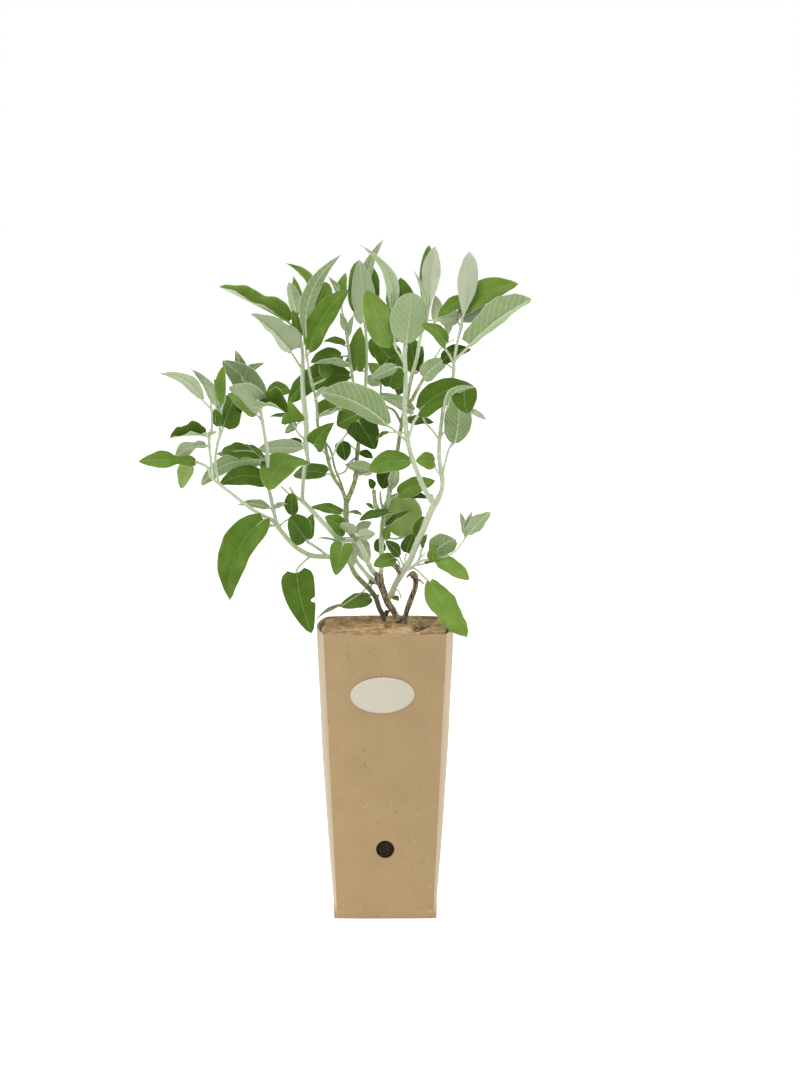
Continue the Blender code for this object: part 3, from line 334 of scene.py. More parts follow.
# Name label: an oval die-cut from cream paper, gummed to the front wall below the rim and left
# bare. It lies on the bow of the wall, tilted a little.
LABEL_WIDTH = 0.054
LABEL_HEIGHT = 0.0305
LABEL_CENTRE = (-0.0022, 0.1945)
LABEL_TILT = math.radians(2)
LABEL_LIFT = 0.0003
LABEL_THICK = 0.0005

bm = bmesh.new()
bmesh.ops.create_circle(bm, cap_ends=True, segments=96, radius=1)
bmesh.ops.inset_region(bm, faces=bm.faces, thickness=0.05)
bmesh.ops.poke(bm, faces=[f for f in bm.faces if len(f.verts) > 4])
spokes = [e for e in bm.edges if min(v.co.length for v in e.verts) < 0.01]
bmesh.ops.subdivide_edges(bm, edges=spokes, cuts=10)
for vert in bm.verts:
    across = vert.co.x * LABEL_WIDTH / 2
    up = vert.co.y * LABEL_HEIGHT / 2
    x = LABEL_CENTRE[0] + across * math.cos(LABEL_TILT) - up * math.sin(LABEL_TILT)
    z = LABEL_CENTRE[1] + up * math.cos(LABEL_TILT) + across * math.sin(LABEL_TILT)
    half, bow = wall_at(z)
    vert.co = (x, -(half + bow * (1 - (x / half) ** 2)) - LABEL_LIFT - LABEL_THICK, z)
bmesh.ops.recalc_face_normals(bm, faces=bm.faces)
if sum(f.normal.y * f.calc_area() for f in bm.faces) > 0:
    bmesh.ops.reverse_faces(bm, faces=bm.faces)


def grained(name, roughness, scale, detail, stops, relief=(), stretch=()):
    """A natural material: one noise runs its colour through the stops and raises its surface.
    Relief is the bump's distance and strength, and stretch the pattern's scale and rotation."""
    made, tree, shader, spot = new_material(name, roughness)
    if stretch:
        spot = add_node(
            tree, "ShaderNodeMapping", [("Vector", spot)], in_Scale=stretch[0], in_Rotation=stretch[1]
        ).outputs[0]
    grain = add_node(
        tree, "ShaderNodeTexNoise", [("Vector", spot)], in_Scale=scale, in_Detail=detail
    ).outputs["Fac"]
    colour = add_node(tree, "ShaderNodeValToRGB", [("Fac", grain)], stops).outputs["Color"]
    paint(tree, shader, colour, grain if relief else None, *relief)
    return made


# Gummed paper, smooth and machine made: a slight satin cream, with its pulp clouded every 6 mm.
gummed_paper = grained("gummed_paper", 0.55, 160.0, 5.0, ((0, "#bab4a1"), (1, "#c2bdab")))
label = new_piece("oval_label", bm, [gummed_paper], ["name_label"])
sheet = label.modifiers.new("sheet", "SOLIDIFY")
sheet.thickness = LABEL_THICK
sheet.offset = -1


# Growing medium: dark moist peat with bark crumbs. It shows only where the mat's corners leave
# the wall and through the drain holes.
MAT_TOP = 0.2432
MAT_THICK = 0.0045
CRUMBS = 260
CRUMB_SIZES = (0.0006, 0.0017)
CRUMB_LAYER = 0.0035

# Moist peat: near black and dull, in lumps of 2.4 mm with brown between them.
peat = grained("moist_peat", 0.95, 420.0, 6.0, ((0, "#1d140d"), (1, "#4d3b2b")), (0.002, 1.0))
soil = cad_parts["growing_medium"]
soil.data.materials.clear()
soil.data.materials.append(peat)

chance = random.Random(41)
bm = bmesh.new()
for number in range(CRUMBS):
    size = chance.uniform(*CRUMB_SIZES)
    if number % 2:
        turn = chance.uniform(0, math.tau)
        reach = DRAIN_RADIUS * math.sqrt(chance.random())
        half, bow = wall_at(DRAIN_HEIGHT)
        side = 1 if number % 4 == 1 else -1
        spot = Vector((
            reach * math.cos(turn),
            side * (half + bow - BOARD - size - chance.uniform(0.0, CRUMB_LAYER)),
            DRAIN_HEIGHT + reach * math.sin(turn),
        ))
    else:
        half, bow = wall_at(MAT_TOP)
        east, north = chance.choice(((1, 1), (1, -1), (-1, 1), (-1, -1)))
        spot = Vector((
            east * (half - chance.uniform(0.002, 0.0095)),
            north * (half - chance.uniform(0.002, 0.0095)),
            MAT_TOP - MAT_THICK - chance.uniform(0.0, 0.002),
        ))
    made = bmesh.ops.create_icosphere(bm, subdivisions=1, radius=size)["verts"]
    squeeze = Matrix.Diagonal((chance.uniform(0.6, 1.3), chance.uniform(0.6, 1.3), 0.8, 1))
    bmesh.ops.transform(bm, matrix=Matrix.Translation(spot) @ squeeze, verts=made)
new_piece("peat_crumbs", bm, [peat])


# Fibre mat: coconut coir needled into felt and laid over the medium, level with the rim. It is
# slit from the crown to the front, and its right flap sags beside the slit.
MM = 0.001
MAT_HALF = 0.0546
MAT_STEPS = 110
CORNER_PULL = 0.3
RIGHT_TRIM = 0.965
EDGE_DROP = 0.0016
TUFT = 0.0003
SLIT_ACROSS = 0.0247
SLIT_WIDTH = 0.0012
CROWN_SPOT = Vector((0.0144, 0.018))
CROWN_HOLE = 0.0045
STEM_SPOT = Vector((-0.001, 0.025))
STEM_HOLE = 0.0018
PIT_SPOT = Vector((0.0022, 0.001))


def sunk_at(x, y):
    """How deep the felt is sunk here, in mm: the trough right of the slit and the pits by the trunks."""
    deep = 0.0
    if x > SLIT_ACROSS - SLIT_WIDTH:
        middle = 0.0315 + 0.2 * (y - 0.007)
        fade = 1 / (1 + math.exp(-(y + 0.024) / 0.004))
        deep = 10 * fade * math.exp(-(((x - middle) / 0.0062) ** 2))
        hollow = math.exp(-(((x - 0.037) / 0.011) ** 2) - ((y + 0.004) / 0.034) ** 2)
        deep = min(deep, 2.4 + 4.5 * hollow)
    away = (Vector((x, y)) - CROWN_SPOT).length
    pit = Vector(((x - PIT_SPOT.x) / 0.0034, (y - PIT_SPOT.y) / 0.011)).length
    return deep + 4 * math.exp(-((away / 0.009) ** 2)) + 6 * math.exp(-(pit ** 4))


def mat_height(x, y):
    """Top of the felt: soft waves over the medium, sunk by the trunks and right of the slit."""
    waves = 0.0009 * math.sin(95 * x + 1.0) * math.cos(80 * y) + 0.0006 * math.sin(170 * y - 60 * x)
    return MAT_TOP + waves - sunk_at(x, y) * MM


bm = bmesh.new()
bmesh.ops.create_grid(bm, x_segments=MAT_STEPS, y_segments=MAT_STEPS, size=1)
sunk_shade = bm.verts.layers.float.new("sunk_shade")
for vert in bm.verts:
    u, v = vert.co.x, vert.co.y
    x = MAT_HALF * u * math.sqrt(1 - CORNER_PULL * v * v)
    y = MAT_HALF * v * math.sqrt(1 - CORNER_PULL * u * u)
    edge = max(abs(u), abs(v))
    # Painted shade: the deeper the felt is sunk here, the darker brown it is coloured.
    vert[sunk_shade] = min(1.0, sunk_at(x, y) / 4.6)
    if edge > 0.97:
        ragged = 1 + 0.016 * noise.noise(Vector((x, y, 0)) * 300)
        x, y = x * ragged, y * ragged
    height = mat_height(x, y) + TUFT * noise.fractal(Vector((x * 420, y * 420, 3)), 0.7, 2.1, 4)
    vert.co = (x * (RIGHT_TRIM if x > 0 else 1), y, height - EDGE_DROP * max(0, edge - 0.93) / 0.07)
cut = []
for face in bm.faces:
    spot = face.calc_center_median()
    aside = abs(spot.x - SLIT_ACROSS - 0.0012 * math.sin(spot.y * 130))
    if (
        aside < SLIT_WIDTH and spot.y < CROWN_SPOT.y
        or (spot.xy - CROWN_SPOT).length < CROWN_HOLE
        or (spot.xy - STEM_SPOT).length < STEM_HOLE
    ):
        cut.append(face)
bmesh.ops.delete(bm, geom=cut, context="FACES")

# Coir felt, needled: dull gold-brown and fuzzy. Its strands of 0.2 mm are too fine to show, so
# they are drawn 0.9 mm wide, with lighter patches every 8 mm. Where it is sunk it is painted dark brown:
# painted shade in the hollows.
coir, tree, shader, place_in = new_material("coir_felt", 0.95)
strands = add_node(
    tree, "ShaderNodeTexNoise", [("Vector", place_in)], in_Scale=1100.0, in_Detail=5.0,
    in_Distortion=1.2,
)
patches = add_node(tree, "ShaderNodeTexNoise", [("Vector", place_in)], in_Scale=130.0, in_Detail=3.0)
mixed = add_node(
    tree, "ShaderNodeMix", [(2, strands.outputs["Fac"]), (3, patches.outputs["Fac"])], in_0=0.35
)
shade = add_node(
    tree, "ShaderNodeValToRGB", [("Fac", mixed.outputs[0])], ((0.3, "#ba976a"), (0.7, "#e8cfa2"))
)
# Painted shade: dark brown mixed in where the felt is sunk, in the trough, the pits and round the crown.
sunk_shade_mark = add_node(tree, "ShaderNodeAttribute", attribute_name="sunk_shade")
felt_with_painted_shade = add_node(
    tree, "ShaderNodeMix", [("Factor", sunk_shade_mark.outputs["Fac"]), (6, shade.outputs["Color"])],
    data_type="RGBA", in_7=linear("#453a1e"),
)
paint(tree, shader, felt_with_painted_shade.outputs[2], strands.outputs["Fac"], 0.0008, 0.5)
mat = new_piece("coir_mat", bm, [coir], ["fibre_mat"])
felt = mat.modifiers.new("felt", "SOLIDIFY")
felt.thickness = MAT_THICK - 0.001
felt.offset = -1

FIBRES = 4200
FIBRE_RADIUS = 0.00011
FIBRE_STEPS = (0.0007, 0.0019)
FIBRE_RISE = (0.0004, 0.0024)
chance = random.Random(7)
loose = bpy.data.curves.new("coir_fibres", "CURVE")
loose.dimensions = "3D"
loose.bevel_depth = FIBRE_RADIUS
loose.bevel_resolution = 0
for number in range(FIBRES):
    x = chance.uniform(-0.95, 0.9) * MAT_HALF
    y = chance.uniform(-0.95, 0.95) * MAT_HALF
    if number % 4 == 0:
        side = chance.choice((-1, 1))
        x, y = chance.choice(((x, side * 0.985 * MAT_HALF), (side * 0.95 * MAT_HALF, y)))
    shrink = 1 - 0.16 * (min(abs(x), abs(y)) / MAT_HALF) ** 2
    x, y = x * shrink, y * shrink
    over_slit = abs(x - SLIT_ACROSS) < 0.0016 and y < CROWN_SPOT.y
    if over_slit or sunk_at(x, y) > chance.uniform(1.5, 9):
        continue
    heading = chance.uniform(0, math.tau)
    step = chance.uniform(*FIBRE_STEPS)
    rise = chance.uniform(*FIBRE_RISE)
    spline = loose.splines.new("POLY")
    spline.points.add(4)
    girth = chance.uniform(0.7, 1.7)
    for index, point in enumerate(spline.points):
        point.radius = girth
        height = mat_height(x, y) + 0.0001 + rise * math.sin(math.pi * (index + 0.3) / 5)
        point.co = (x, y, height, 1)
        heading += chance.uniform(-0.8, 0.8)
        x = max(-0.0515, min(0.0500, x + step * math.cos(heading)))
        y = max(-0.0535, min(0.0535, y + step * math.sin(heading)))
guide = in_scene("coir_guide", loose)
graph = bpy.context.evaluated_depsgraph_get()
bm = bmesh.new()
bm.from_mesh(guide.evaluated_get(graph).to_mesh())
bpy.data.objects.remove(guide)
# Retted coir fibre: dry pale gold to brown, changing every 8 mm, with little shine.
retted_fibre = grained("retted_coir_fibre", 0.8, 120.0, 1.0, ((0.35, "#a58455"), (0.65, "#dcc59c")))
new_piece("coir_fibres", bm, [retted_fibre])


# Woody crown: two old trunks on one root crown. The left one was pruned off at its swollen top,
# which healed over, and the right one bends in at its top. Grey-brown bark, cracked lengthwise.
FOOT_DEPTH = 21
TRUNK_SIDES = 20
SPUR_SIDES = 12


def place(point):
    """A point's place: across and up as seen on the middle plane, and its depth behind it, in mm."""
    across, up, depth = point
    seen = Vector((across, 0.0, up)) * MM
    return EYE + (seen - EYE) * (1 - depth * MM / EYE.y)


def foot_of(point):
    """The point straight below this one, under the mat."""
    across, up, depth = point
    return (across, up - FOOT_DEPTH, depth)


def smooth_path(points, radii, step=1.6):
    """The places and radii along a smooth curve through the points, about a step apart."""
    ends = [points[0] * 2 - points[1], *points, points[-1] * 2 - points[-2]]
    places, widths = [], []
    for index in range(len(points) - 1):
        a, b, c, d = ends[index:index + 4]
        count = max(1, round((c - b).length / (step * MM)))
        for share in (number / count for number in range(count)):
            bend = (c - a) * share + (a * 2 - b * 5 + c * 4 - d) * share ** 2
            bend += (b * 3 - a - c * 3 + d) * share ** 3
            places.append(b + bend / 2)
            widths.append(radii[index] + (radii[index + 1] - radii[index]) * share)
    return places + [points[-1]], widths + [radii[-1]]


def add_tube(bm, places, radii, sides, shape=None, layer=None, wool=None):
    """A closed round stem through the places, with its shape's bumps and its wool in the layer."""
    rows = len(places) + 1
    last = len(places) - 1
    made = bmesh.ops.create_grid(bm, x_segments=sides, y_segments=rows, size=1)["verts"]
    across = Vector((0.31, 0.93, 0.2)).normalized()
    frames = []
    for index in range(len(places)):
        along = places[min(index + 1, last)] - places[max(index - 1, 0)]
        along.normalize()
        across = (across - along * across.dot(along)).normalized()
        frames.append((across.copy(), along.cross(across)))
    for vert in made:
        row = round((vert.co.y + 1) / 2 * rows)
        turn = (vert.co.x + 1) * math.pi
        index = min(max(row - 1, 0), last)
        radius = 0.0 if row in (0, rows) else radii[index] * MM
        side, front = frames[index]
        if shape and radius:
            radius *= shape(index / last, turn)
        vert.co = places[index] + (side * math.cos(turn) + front * math.sin(turn)) * radius
        if wool:
            vert[layer] = wool(vert.co, index / last)
    faces = {f for v in made for f in v.link_faces}
    bmesh.ops.remove_doubles(bm, verts=made, dist=0.000001)
    bmesh.ops.recalc_face_normals(bm, faces=[f for f in faces if f.is_valid])


def bark(share, turn):
    """Ridges that twist slowly round the trunk, with knots."""
    ridges = 0.025 * math.sin(5 * turn + 1.5 * share) + 0.03 * math.sin(9 * turn - 2 * share)
    lumps = 0.2 * noise.noise(Vector((math.cos(turn) * 1.3, math.sin(turn) * 1.3, share * 9)))
    return 1 + ridges + lumps


TRUNKS = (
    ([
        foot_of((12, 246, 15)), (12, 246, 15), (8, 256, 13), (3, 263.5, 12), (-2, 276, 10),
        (-4.5, 284, 8), (-5, 288.5, 7.5),
    ], (3.0, 3.1, 2.8, 2.9, 3.1, 3.6, 3.9)),
    ([
        foot_of((16.5, 246, 21)), (16.5, 246, 21), (18, 255, 22), (20.5, 263, 22), (23.5, 271, 22),
        (26, 279, 21), (26, 286, 20), (24.5, 289.5, 18), (21.6, 289, 15),
    ], (2.6, 2.6, 2.4, 2.5, 2.3, 2.4, 2.7, 2.3, 1.7)),
)
SPURS = (
    ([(-9, 290.5, 6), (-8.2, 289.8, 6), (-5.5, 288, 7), (-3, 285, 8)], (1.2, 2.1, 2.3, 2.0)),
    ([(13.5, 289.5, 1), (9, 296, -1), (5, 298.5, -2)], (2.3, 2.4, 2.5)),
    ([(26, 282, 21), (29.5, 284, 18), (33, 280.5, 16)], (0.9, 0.8, 0.6)),
    ([(24, 286, 19), (21, 288.5, 16), (18.6, 286.3, 14)], (1.3, 1.2, 0.8)),
    ([(4, 262, 12), (1.2, 265.5, 9), (2.6, 268.5, 8)], (1.6, 1.5, 0.8)),
    ([(19, 262, 21), (21.8, 264, 19), (22.8, 267, 19)], (1.2, 1.1, 0.7)),
    ([(14, 251, 12), (9.5, 249, 10), (7.5, 246, 9)], (2.4, 1.9, 1.2)),
)
bm = bmesh.new()
for tubes, sides, step in ((TRUNKS, TRUNK_SIDES, 0.8), (SPURS, SPUR_SIDES, 0.6)):
    for points, radii in tubes:
        places, widths = smooth_path([place(p) for p in points], radii, step)
        add_tube(bm, places, widths, sides, shape=bark)
mound = bmesh.ops.create_uvsphere(bm, u_segments=24, v_segments=12, radius=1)["verts"]
squash = Matrix.Diagonal((0.0085, 0.0080, 0.0058, 1))
seat = Matrix.Translation((CROWN_SPOT.x, CROWN_SPOT.y, MAT_TOP - 0.0075))
bmesh.ops.transform(bm, matrix=seat @ squash, verts=mound)

# Old bark, weathered: dull grey ridges over dark brown cracks about 1 mm apart, which run along
# the trunk for 9 mm.
grey_bark = grained(
    "cracked_grey_bark", 0.9, 900.0, 6.0, ((0.36, "#362b1f"), (0.5, "#86765f"), (0.66, "#b0a48f")),
    (0.0009, 1.0), ((1, 1, 0.12), (0, 0.15, 0)),
)
new_piece("woody_trunks", bm, [grey_bark], ["woody_crown"])


# Leafy stems: square-set pairs of soft leaves on pale woolly stems. Each blade is green and finely
# haired above, silver with felted wool below, and has a cream midrib, raised below, that runs on
# into its stalk. Leaves are given by where their stalk joins, their base, tip, width and facing.
BLADE_THICK = 0.36
BLADE_COLUMNS = 12
BLADE_STEP = 1.5
TIP_MERGE = 0.00008
QUILT = 0.00035
LEAN_FROM = 300
LEAN_TO = 560
STEM_SIDES = 14
STALK_SIDES = 8
OUTLINES = {
    "small": ((0, 0.25), (0.12, 0.75), (0.35, 1), (0.65, 0.8), (0.88, 0.38), (1, 0)),
    "lance": ((0, 0.2), (0.1, 0.66), (0.28, 1), (0.5, 0.93), (0.74, 0.6), (0.9, 0.27), (1, 0)),
    "long": (
        (0, 0.22), (0.07, 0.62), (0.18, 0.9), (0.38, 1), (0.62, 0.93), (0.8, 0.7), (0.93, 0.36), (1, 0)
    ),
    "broad": (
        (0, 0.32), (0.05, 0.7), (0.14, 0.93), (0.32, 1), (0.55, 0.92), (0.76, 0.66), (0.92, 0.31), (1, 0)
    ),
    "round": (
        (0, 0.2), (0.06, 0.52), (0.2, 0.86), (0.44, 1), (0.68, 0.94), (0.86, 0.68), (0.96, 0.36), (1, 0)
    ),
    "heart": (
        (0, 0.5), (0.05, 0.85), (0.14, 1), (0.35, 0.93), (0.6, 0.74), (0.82, 0.46), (0.94, 0.24), (1, 0)
    ),
    "waisted": (
        (0, 0.3), (0.08, 0.62), (0.17, 0.6), (0.3, 0.42), (0.47, 0.85), (0.62, 1), (0.8, 0.68),
        (0.93, 0.3), (1, 0),
    ),
    "arrow": ((0, 0.7), (0.05, 0.95), (0.12, 1), (0.3, 0.84), (0.55, 0.58), (0.8, 0.3), (1, 0)),
    "spindle": (
        (0, 0.14), (0.1, 0.38), (0.27, 0.74), (0.45, 0.97), (0.58, 1), (0.74, 0.84), (0.89, 0.5), (1, 0)
    ),
    "spoon": (
        (0, 0.45), (0.08, 0.66), (0.25, 0.84), (0.5, 0.98), (0.72, 1), (0.88, 0.78), (0.96, 0.42), (1, 0)
    ),
    "blunt": (
        (0, 0.45), (0.05, 0.78), (0.16, 1), (0.4, 0.95), (0.65, 0.82), (0.84, 0.6), (0.95, 0.34), (1, 0)
    ),
}
LOBES = {
    "small": 0.02, "lance": 0.01, "long": 0.03, "broad": 0.05, "round": 0.02, "heart": 0.06,
    "waisted": 0.03, "blunt": 0.04, "arrow": 0.05, "spoon": 0.03, "spindle": 0.0,
}
Stem = namedtuple("Stem", "points first_radius last_radius")
# Each leaf's tone runs from dark at 0 to bright at 1: partly its own colour and partly painted shade and
# light, darker for leaves deep in the plant and lighter for leaves in the open.
Leaf = namedtuple(
    "Leaf", "join base tip width facing form tone via arch fold sway twist curl wave bite veins",
    defaults=((), 0.07, 0.22, 0.0, 0.0, (-0.25, -0.25), 0.07, None, 4.6),
)


def outline_at(form, share):
    """Half width at this share of the length, as a share of the greatest one."""
    points = OUTLINES[form]
    for index in range(len(points) - 1):
        (low, here), (high, onward) = points[index:index + 2]
        if share <= high:
            break
    before = points[index - 1][1] if index else here - (onward - here)
    after = points[index + 2][1] if index + 2 < len(points) else -points[-2][1] * 0.8
    t = (share - low) / (high - low)
    bend = (onward - before) * t + (2 * before - 5 * here + 4 * onward - after) * t ** 2
    bend += (3 * here - before - 3 * onward + after) * t ** 3
    return max(0.0, here + bend / 2)


def leaned(point, lean):
    """The point moved back by its share of the lean that the stem has at the plant's top."""
    across, up, depth = point
    return (across, up, depth + lean * max(0.0, (up - LEAN_FROM) / (LEAN_TO - LEAN_FROM)))


def nearest_on(stems, wanted):
    """The point of any stem's axis that looks nearest to the wanted one, with its depth."""
    best = None
    for stem in stems:
        for start, end in zip(stem.points, stem.points[1:]):
            run = (end[0] - start[0], end[1] - start[1])
            span = run[0] ** 2 + run[1] ** 2
            share = ((wanted[0] - start[0]) * run[0] + (wanted[1] - start[1]) * run[1]) / span
            share = min(0.95, max(0.05, share))
            spot = tuple(a + (b - a) * share for a, b in zip(start, end))
            distance = math.hypot(spot[0] - wanted[0], spot[1] - wanted[1])
            if best is None or distance < best[0]:
                best = (distance, spot)
    return best[1]


def blade_frame(leaf):
    """Base, length and the three directions of a blade: along, across and out of its green side."""
    base = place(leaf.base)
    along = place(leaf.tip) - base
    length = along.length
    along.normalize()
    to_eye = EYE - base
    to_eye -= along * to_eye.dot(along)
    to_eye.normalize()
    side = along.cross(to_eye)
    if side.z < 0:
        side.negate()
    turn = math.radians(leaf.facing)
    green = to_eye * math.sin(turn) + side * math.cos(turn)
    across = side * math.sin(turn) - to_eye * math.cos(turn)
    if turn < 0:
        across.negate()
    return base, length, along, across, green


def blade_point(leaf, axes, share, edge, phase):
    """A point of the blade, and how far it lies from the midrib. Edge runs from -1 to 1."""
    base, length, along, across, green = axes
    bulge = 4 * share * (1 - share) * length
    spot = base + along * length * share + green * leaf.arch * bulge + across * leaf.sway * bulge
    turn = math.radians(leaf.twist) * share
    out = across * math.cos(turn) + green * math.sin(turn)
    up = green * math.cos(turn) - across * math.sin(turn)
    half = outline_at(leaf.form, share) * leaf.width * MM / 2
    if leaf.bite and edge * leaf.bite[1] > 0:
        half *= 1 - leaf.bite[2] * math.exp(-(((share - leaf.bite[0]) / 0.03) ** 2))
    bend = leaf.curl[1 if edge > 0 else 0]
    flat = half * math.sin(bend * abs(edge)) / bend
    lift = half * (1 - math.cos(bend * edge)) / bend
    slope = math.atan(leaf.fold)
    away = math.copysign(flat * math.cos(slope) - lift * math.sin(slope), edge)
    rise = flat * math.sin(slope) + lift * math.cos(slope)
    ripple = math.sin(share * (10 + 1.5 * phase) + phase + (1.7 if edge > 0 else 0))
    rise += leaf.wave * half * edge ** 2 * ripple
    rise += 0.25 * leaf.wave * half * math.sin(share * 31 + phase * 2 + 5 * edge) * abs(edge) ** 3
    back = max(0.0, 1 - share / 0.22) * LOBES[leaf.form] * length * abs(edge) ** 1.5
    return spot + out * away + up * rise - along * back, edge * half


def add_blade(bm, leaf, layers, chance):
    """The blade, quilted between its veins, with its marks for the skins in the layers."""
    axes = blade_frame(leaf)
    length, green = axes[1], axes[4]
    rows = max(10, round(length / MM / BLADE_STEP))
    made = bmesh.ops.create_grid(bm, x_segments=BLADE_COLUMNS, y_segments=rows, size=1)["verts"]
    phase = chance.uniform(0, 3)
    # Painted shade and light: the tone is partly set by how lit the leaf sits in the plant.
    tone = leaf.tone + chance.uniform(-0.05, 0.05)
    for vert in made:
        share = (vert.co.y + 1) / 2
        edge = vert.co.x
        spot, away = blade_point(leaf, axes, share, edge, phase)
        away = away / MM
        vein = (length * share / MM - 0.75 * abs(away) - 0.026 * away ** 2) / leaf.veins
        quilt = 0.5 - 0.5 * math.cos(math.tau * vein)
        vert.co = spot + green * QUILT * quilt * min(1, abs(edge) * 4) * (1 - edge ** 4)
        for name, value in (("tone", tone), ("edge", abs(edge)), ("rib", abs(away)), ("vein", vein)):
            vert[layers[name]] = value
        half = outline_at(leaf.form, share) * leaf.width / 2
        vert[layers["body"]][0] = max(0.1, min(1.0, half / 4))
    faces = {f for v in made for f in v.link_faces}
    bmesh.ops.remove_doubles(bm, verts=made, dist=TIP_MERGE)
    faces = [f for f in faces if f.is_valid]
    for face in faces:
        face.normal_update()
    if sum(f.normal.dot(green) * f.calc_area() for f in faces) < 0:
        bmesh.ops.reverse_faces(bm, faces=faces)
    return axes, phase


def stalk_wool(spot, share):
    """How woolly a stalk is at a share of its length."""
    return 0.75 + 0.2 * share


def add_stalk(bm, leaf, axes, phase, stems, layer):
    """The stalk, and the midrib that it runs on into along the blade's silver side."""
    green = axes[4]
    first = 0.55 + leaf.width * 0.012
    path = [place(nearest_on(stems, leaf.join)), *(place(p) for p in leaf.via)]
    radii = [first + 0.15] + [first] * len(leaf.via)
    for share in (0.0, 0.12, 0.3, 0.5, 0.7, 0.88):
        spot, away = blade_point(leaf, axes, share, 0.0, phase)
        radii.append((first - 0.08) * (1 - share) ** 0.8 * (0.82 if share else 1) + 0.1)
        path.append(spot - green * radii[-1] * 0.95 * MM)
    if (path[1] - path[0]).length < 0.0012:
        del path[1], radii[1]
    places, widths = smooth_path(path, radii, 1.4)
    add_tube(bm, places, widths, STALK_SIDES, layer=layer, wool=stalk_wool)


def wool_at(knots, height):
    """How woolly a stem is at this height, in mm: 0 is bare olive bark and 1 is all white wool."""
    for (low, start), (high, end) in zip(knots, knots[1:]):
        if height < high:
            return start + (end - start) * max(0.0, (height - low) / (high - low))
    return knots[-1][1]


def blade_skin(name, colours, vein_code, edge_code, roughness, vein_mix, rib_mix, sheen):
    """A leaf's skin, coloured by its tone, partly the leaf's own and partly painted shade and light,
    with its veins, midrib and pale edge. It is mottled every 11 mm, and puckered in cells of 1.6 mm,
    drawn coarse enough to show."""
    made, tree, shader, place_in = new_material(
        name, roughness, Sheen_Weight=sheen, Sheen_Roughness=0.5, Subsurface_Weight=0.12,
        Subsurface_Scale=0.001, Specular_IOR_Level=0.12,
    )
    marks = {
        key: add_node(tree, "ShaderNodeAttribute", attribute_name=key).outputs["Fac"]
        for key in ("tone", "edge", "rib", "vein")
    }
    mottle = add_node(
        tree, "ShaderNodeTexNoise", [("Vector", place_in)], in_Scale=90.0, in_Detail=4.0
    )
    drift = add_node(
        tree, "ShaderNodeMapRange", [("Value", mottle.outputs["Fac"])],
        in_From_Min=0.3, in_From_Max=0.7, in_To_Min=-0.09, in_To_Max=0.09,
    )
    shaded_tone = add_node(
        tree, "ShaderNodeMath", [(0, marks["tone"]), (1, drift.outputs[0])], operation="ADD"
    )
    stops = [(index / (len(colours) - 1), code) for index, code in enumerate(colours)]
    colour = add_node(tree, "ShaderNodeValToRGB", [("Fac", shaded_tone.outputs[0])], stops).outputs[0]
    swing = add_node(
        tree, "ShaderNodeMath", [(0, marks["vein"])], operation="PINGPONG", in_1=0.5
    )
    vein, rib, rim = (
        add_node(
            tree, "ShaderNodeMapRange", [("Value", source)], interpolation_type="SMOOTHSTEP",
            in_From_Min=none_at, in_From_Max=full_at, in_To_Max=most,
        ).outputs[0]
        for source, none_at, full_at, most in (
            (swing.outputs[0], 0.13, 0.01, vein_mix),
            (marks["rib"], 0.6, 0.15, rib_mix),
            (marks["edge"], 0.94, 1.0, 0.6),
        )
    )
    lines = add_node(tree, "ShaderNodeMath", [(0, vein), (1, rib)], operation="MAXIMUM").outputs[0]
    for share, code in ((lines, vein_code), (rim, edge_code)):
        colour = add_node(
            tree, "ShaderNodeMix", [("Factor", share), (6, colour)], data_type="RGBA",
            in_7=linear(code),
        ).outputs[2]
    net = add_node(
        tree, "ShaderNodeTexVoronoi", [("Vector", place_in)], feature="DISTANCE_TO_EDGE",
        in_Scale=620.0,
    )
    raised = add_node(
        tree, "ShaderNodeMath", [(0, net.outputs["Distance"]), (1, lines)], operation="SUBTRACT"
    )
    paint(tree, shader, colour, raised.outputs[0], 0.00035, 0.5)
    return made


# Living leaf, upper side: soft green, half dull under very short hairs, with faint paler veins. Its
# darker greens are partly painted shade for leaves deep in the plant, its lighter ones partly painted
# light.
upper_skin = blade_skin(
    "haired_green_leaf", ("#2b4504", "#4a6917", "#6d8b37", "#95ad65"), "#96b15e", "#a9bc82",
    0.6, 0.08, 0.24, 0.03,
)
# Living leaf, under side: felted with white wool, so silver green and quite dull, with cream veins.
# Its darker and lighter silvers are partly painted shade and light, as on the upper side.
under_skin = blade_skin(
    "felted_silver_leaf", ("#7f9561", "#95a97a", "#a9b793", "#bfc6b2"), "#ccd4ba", "#c9d1b9",
    0.9, 0.3, 0.75, 0.12,
)
# Plant wool: single hairs, pale and dull, that catch the light as a halo.
woolly_edge = new_material(
    "woolly_leaf_edge", 0.9, Sheen_Weight=0.4, Base_Color=linear("#c3cfae")
)[0]

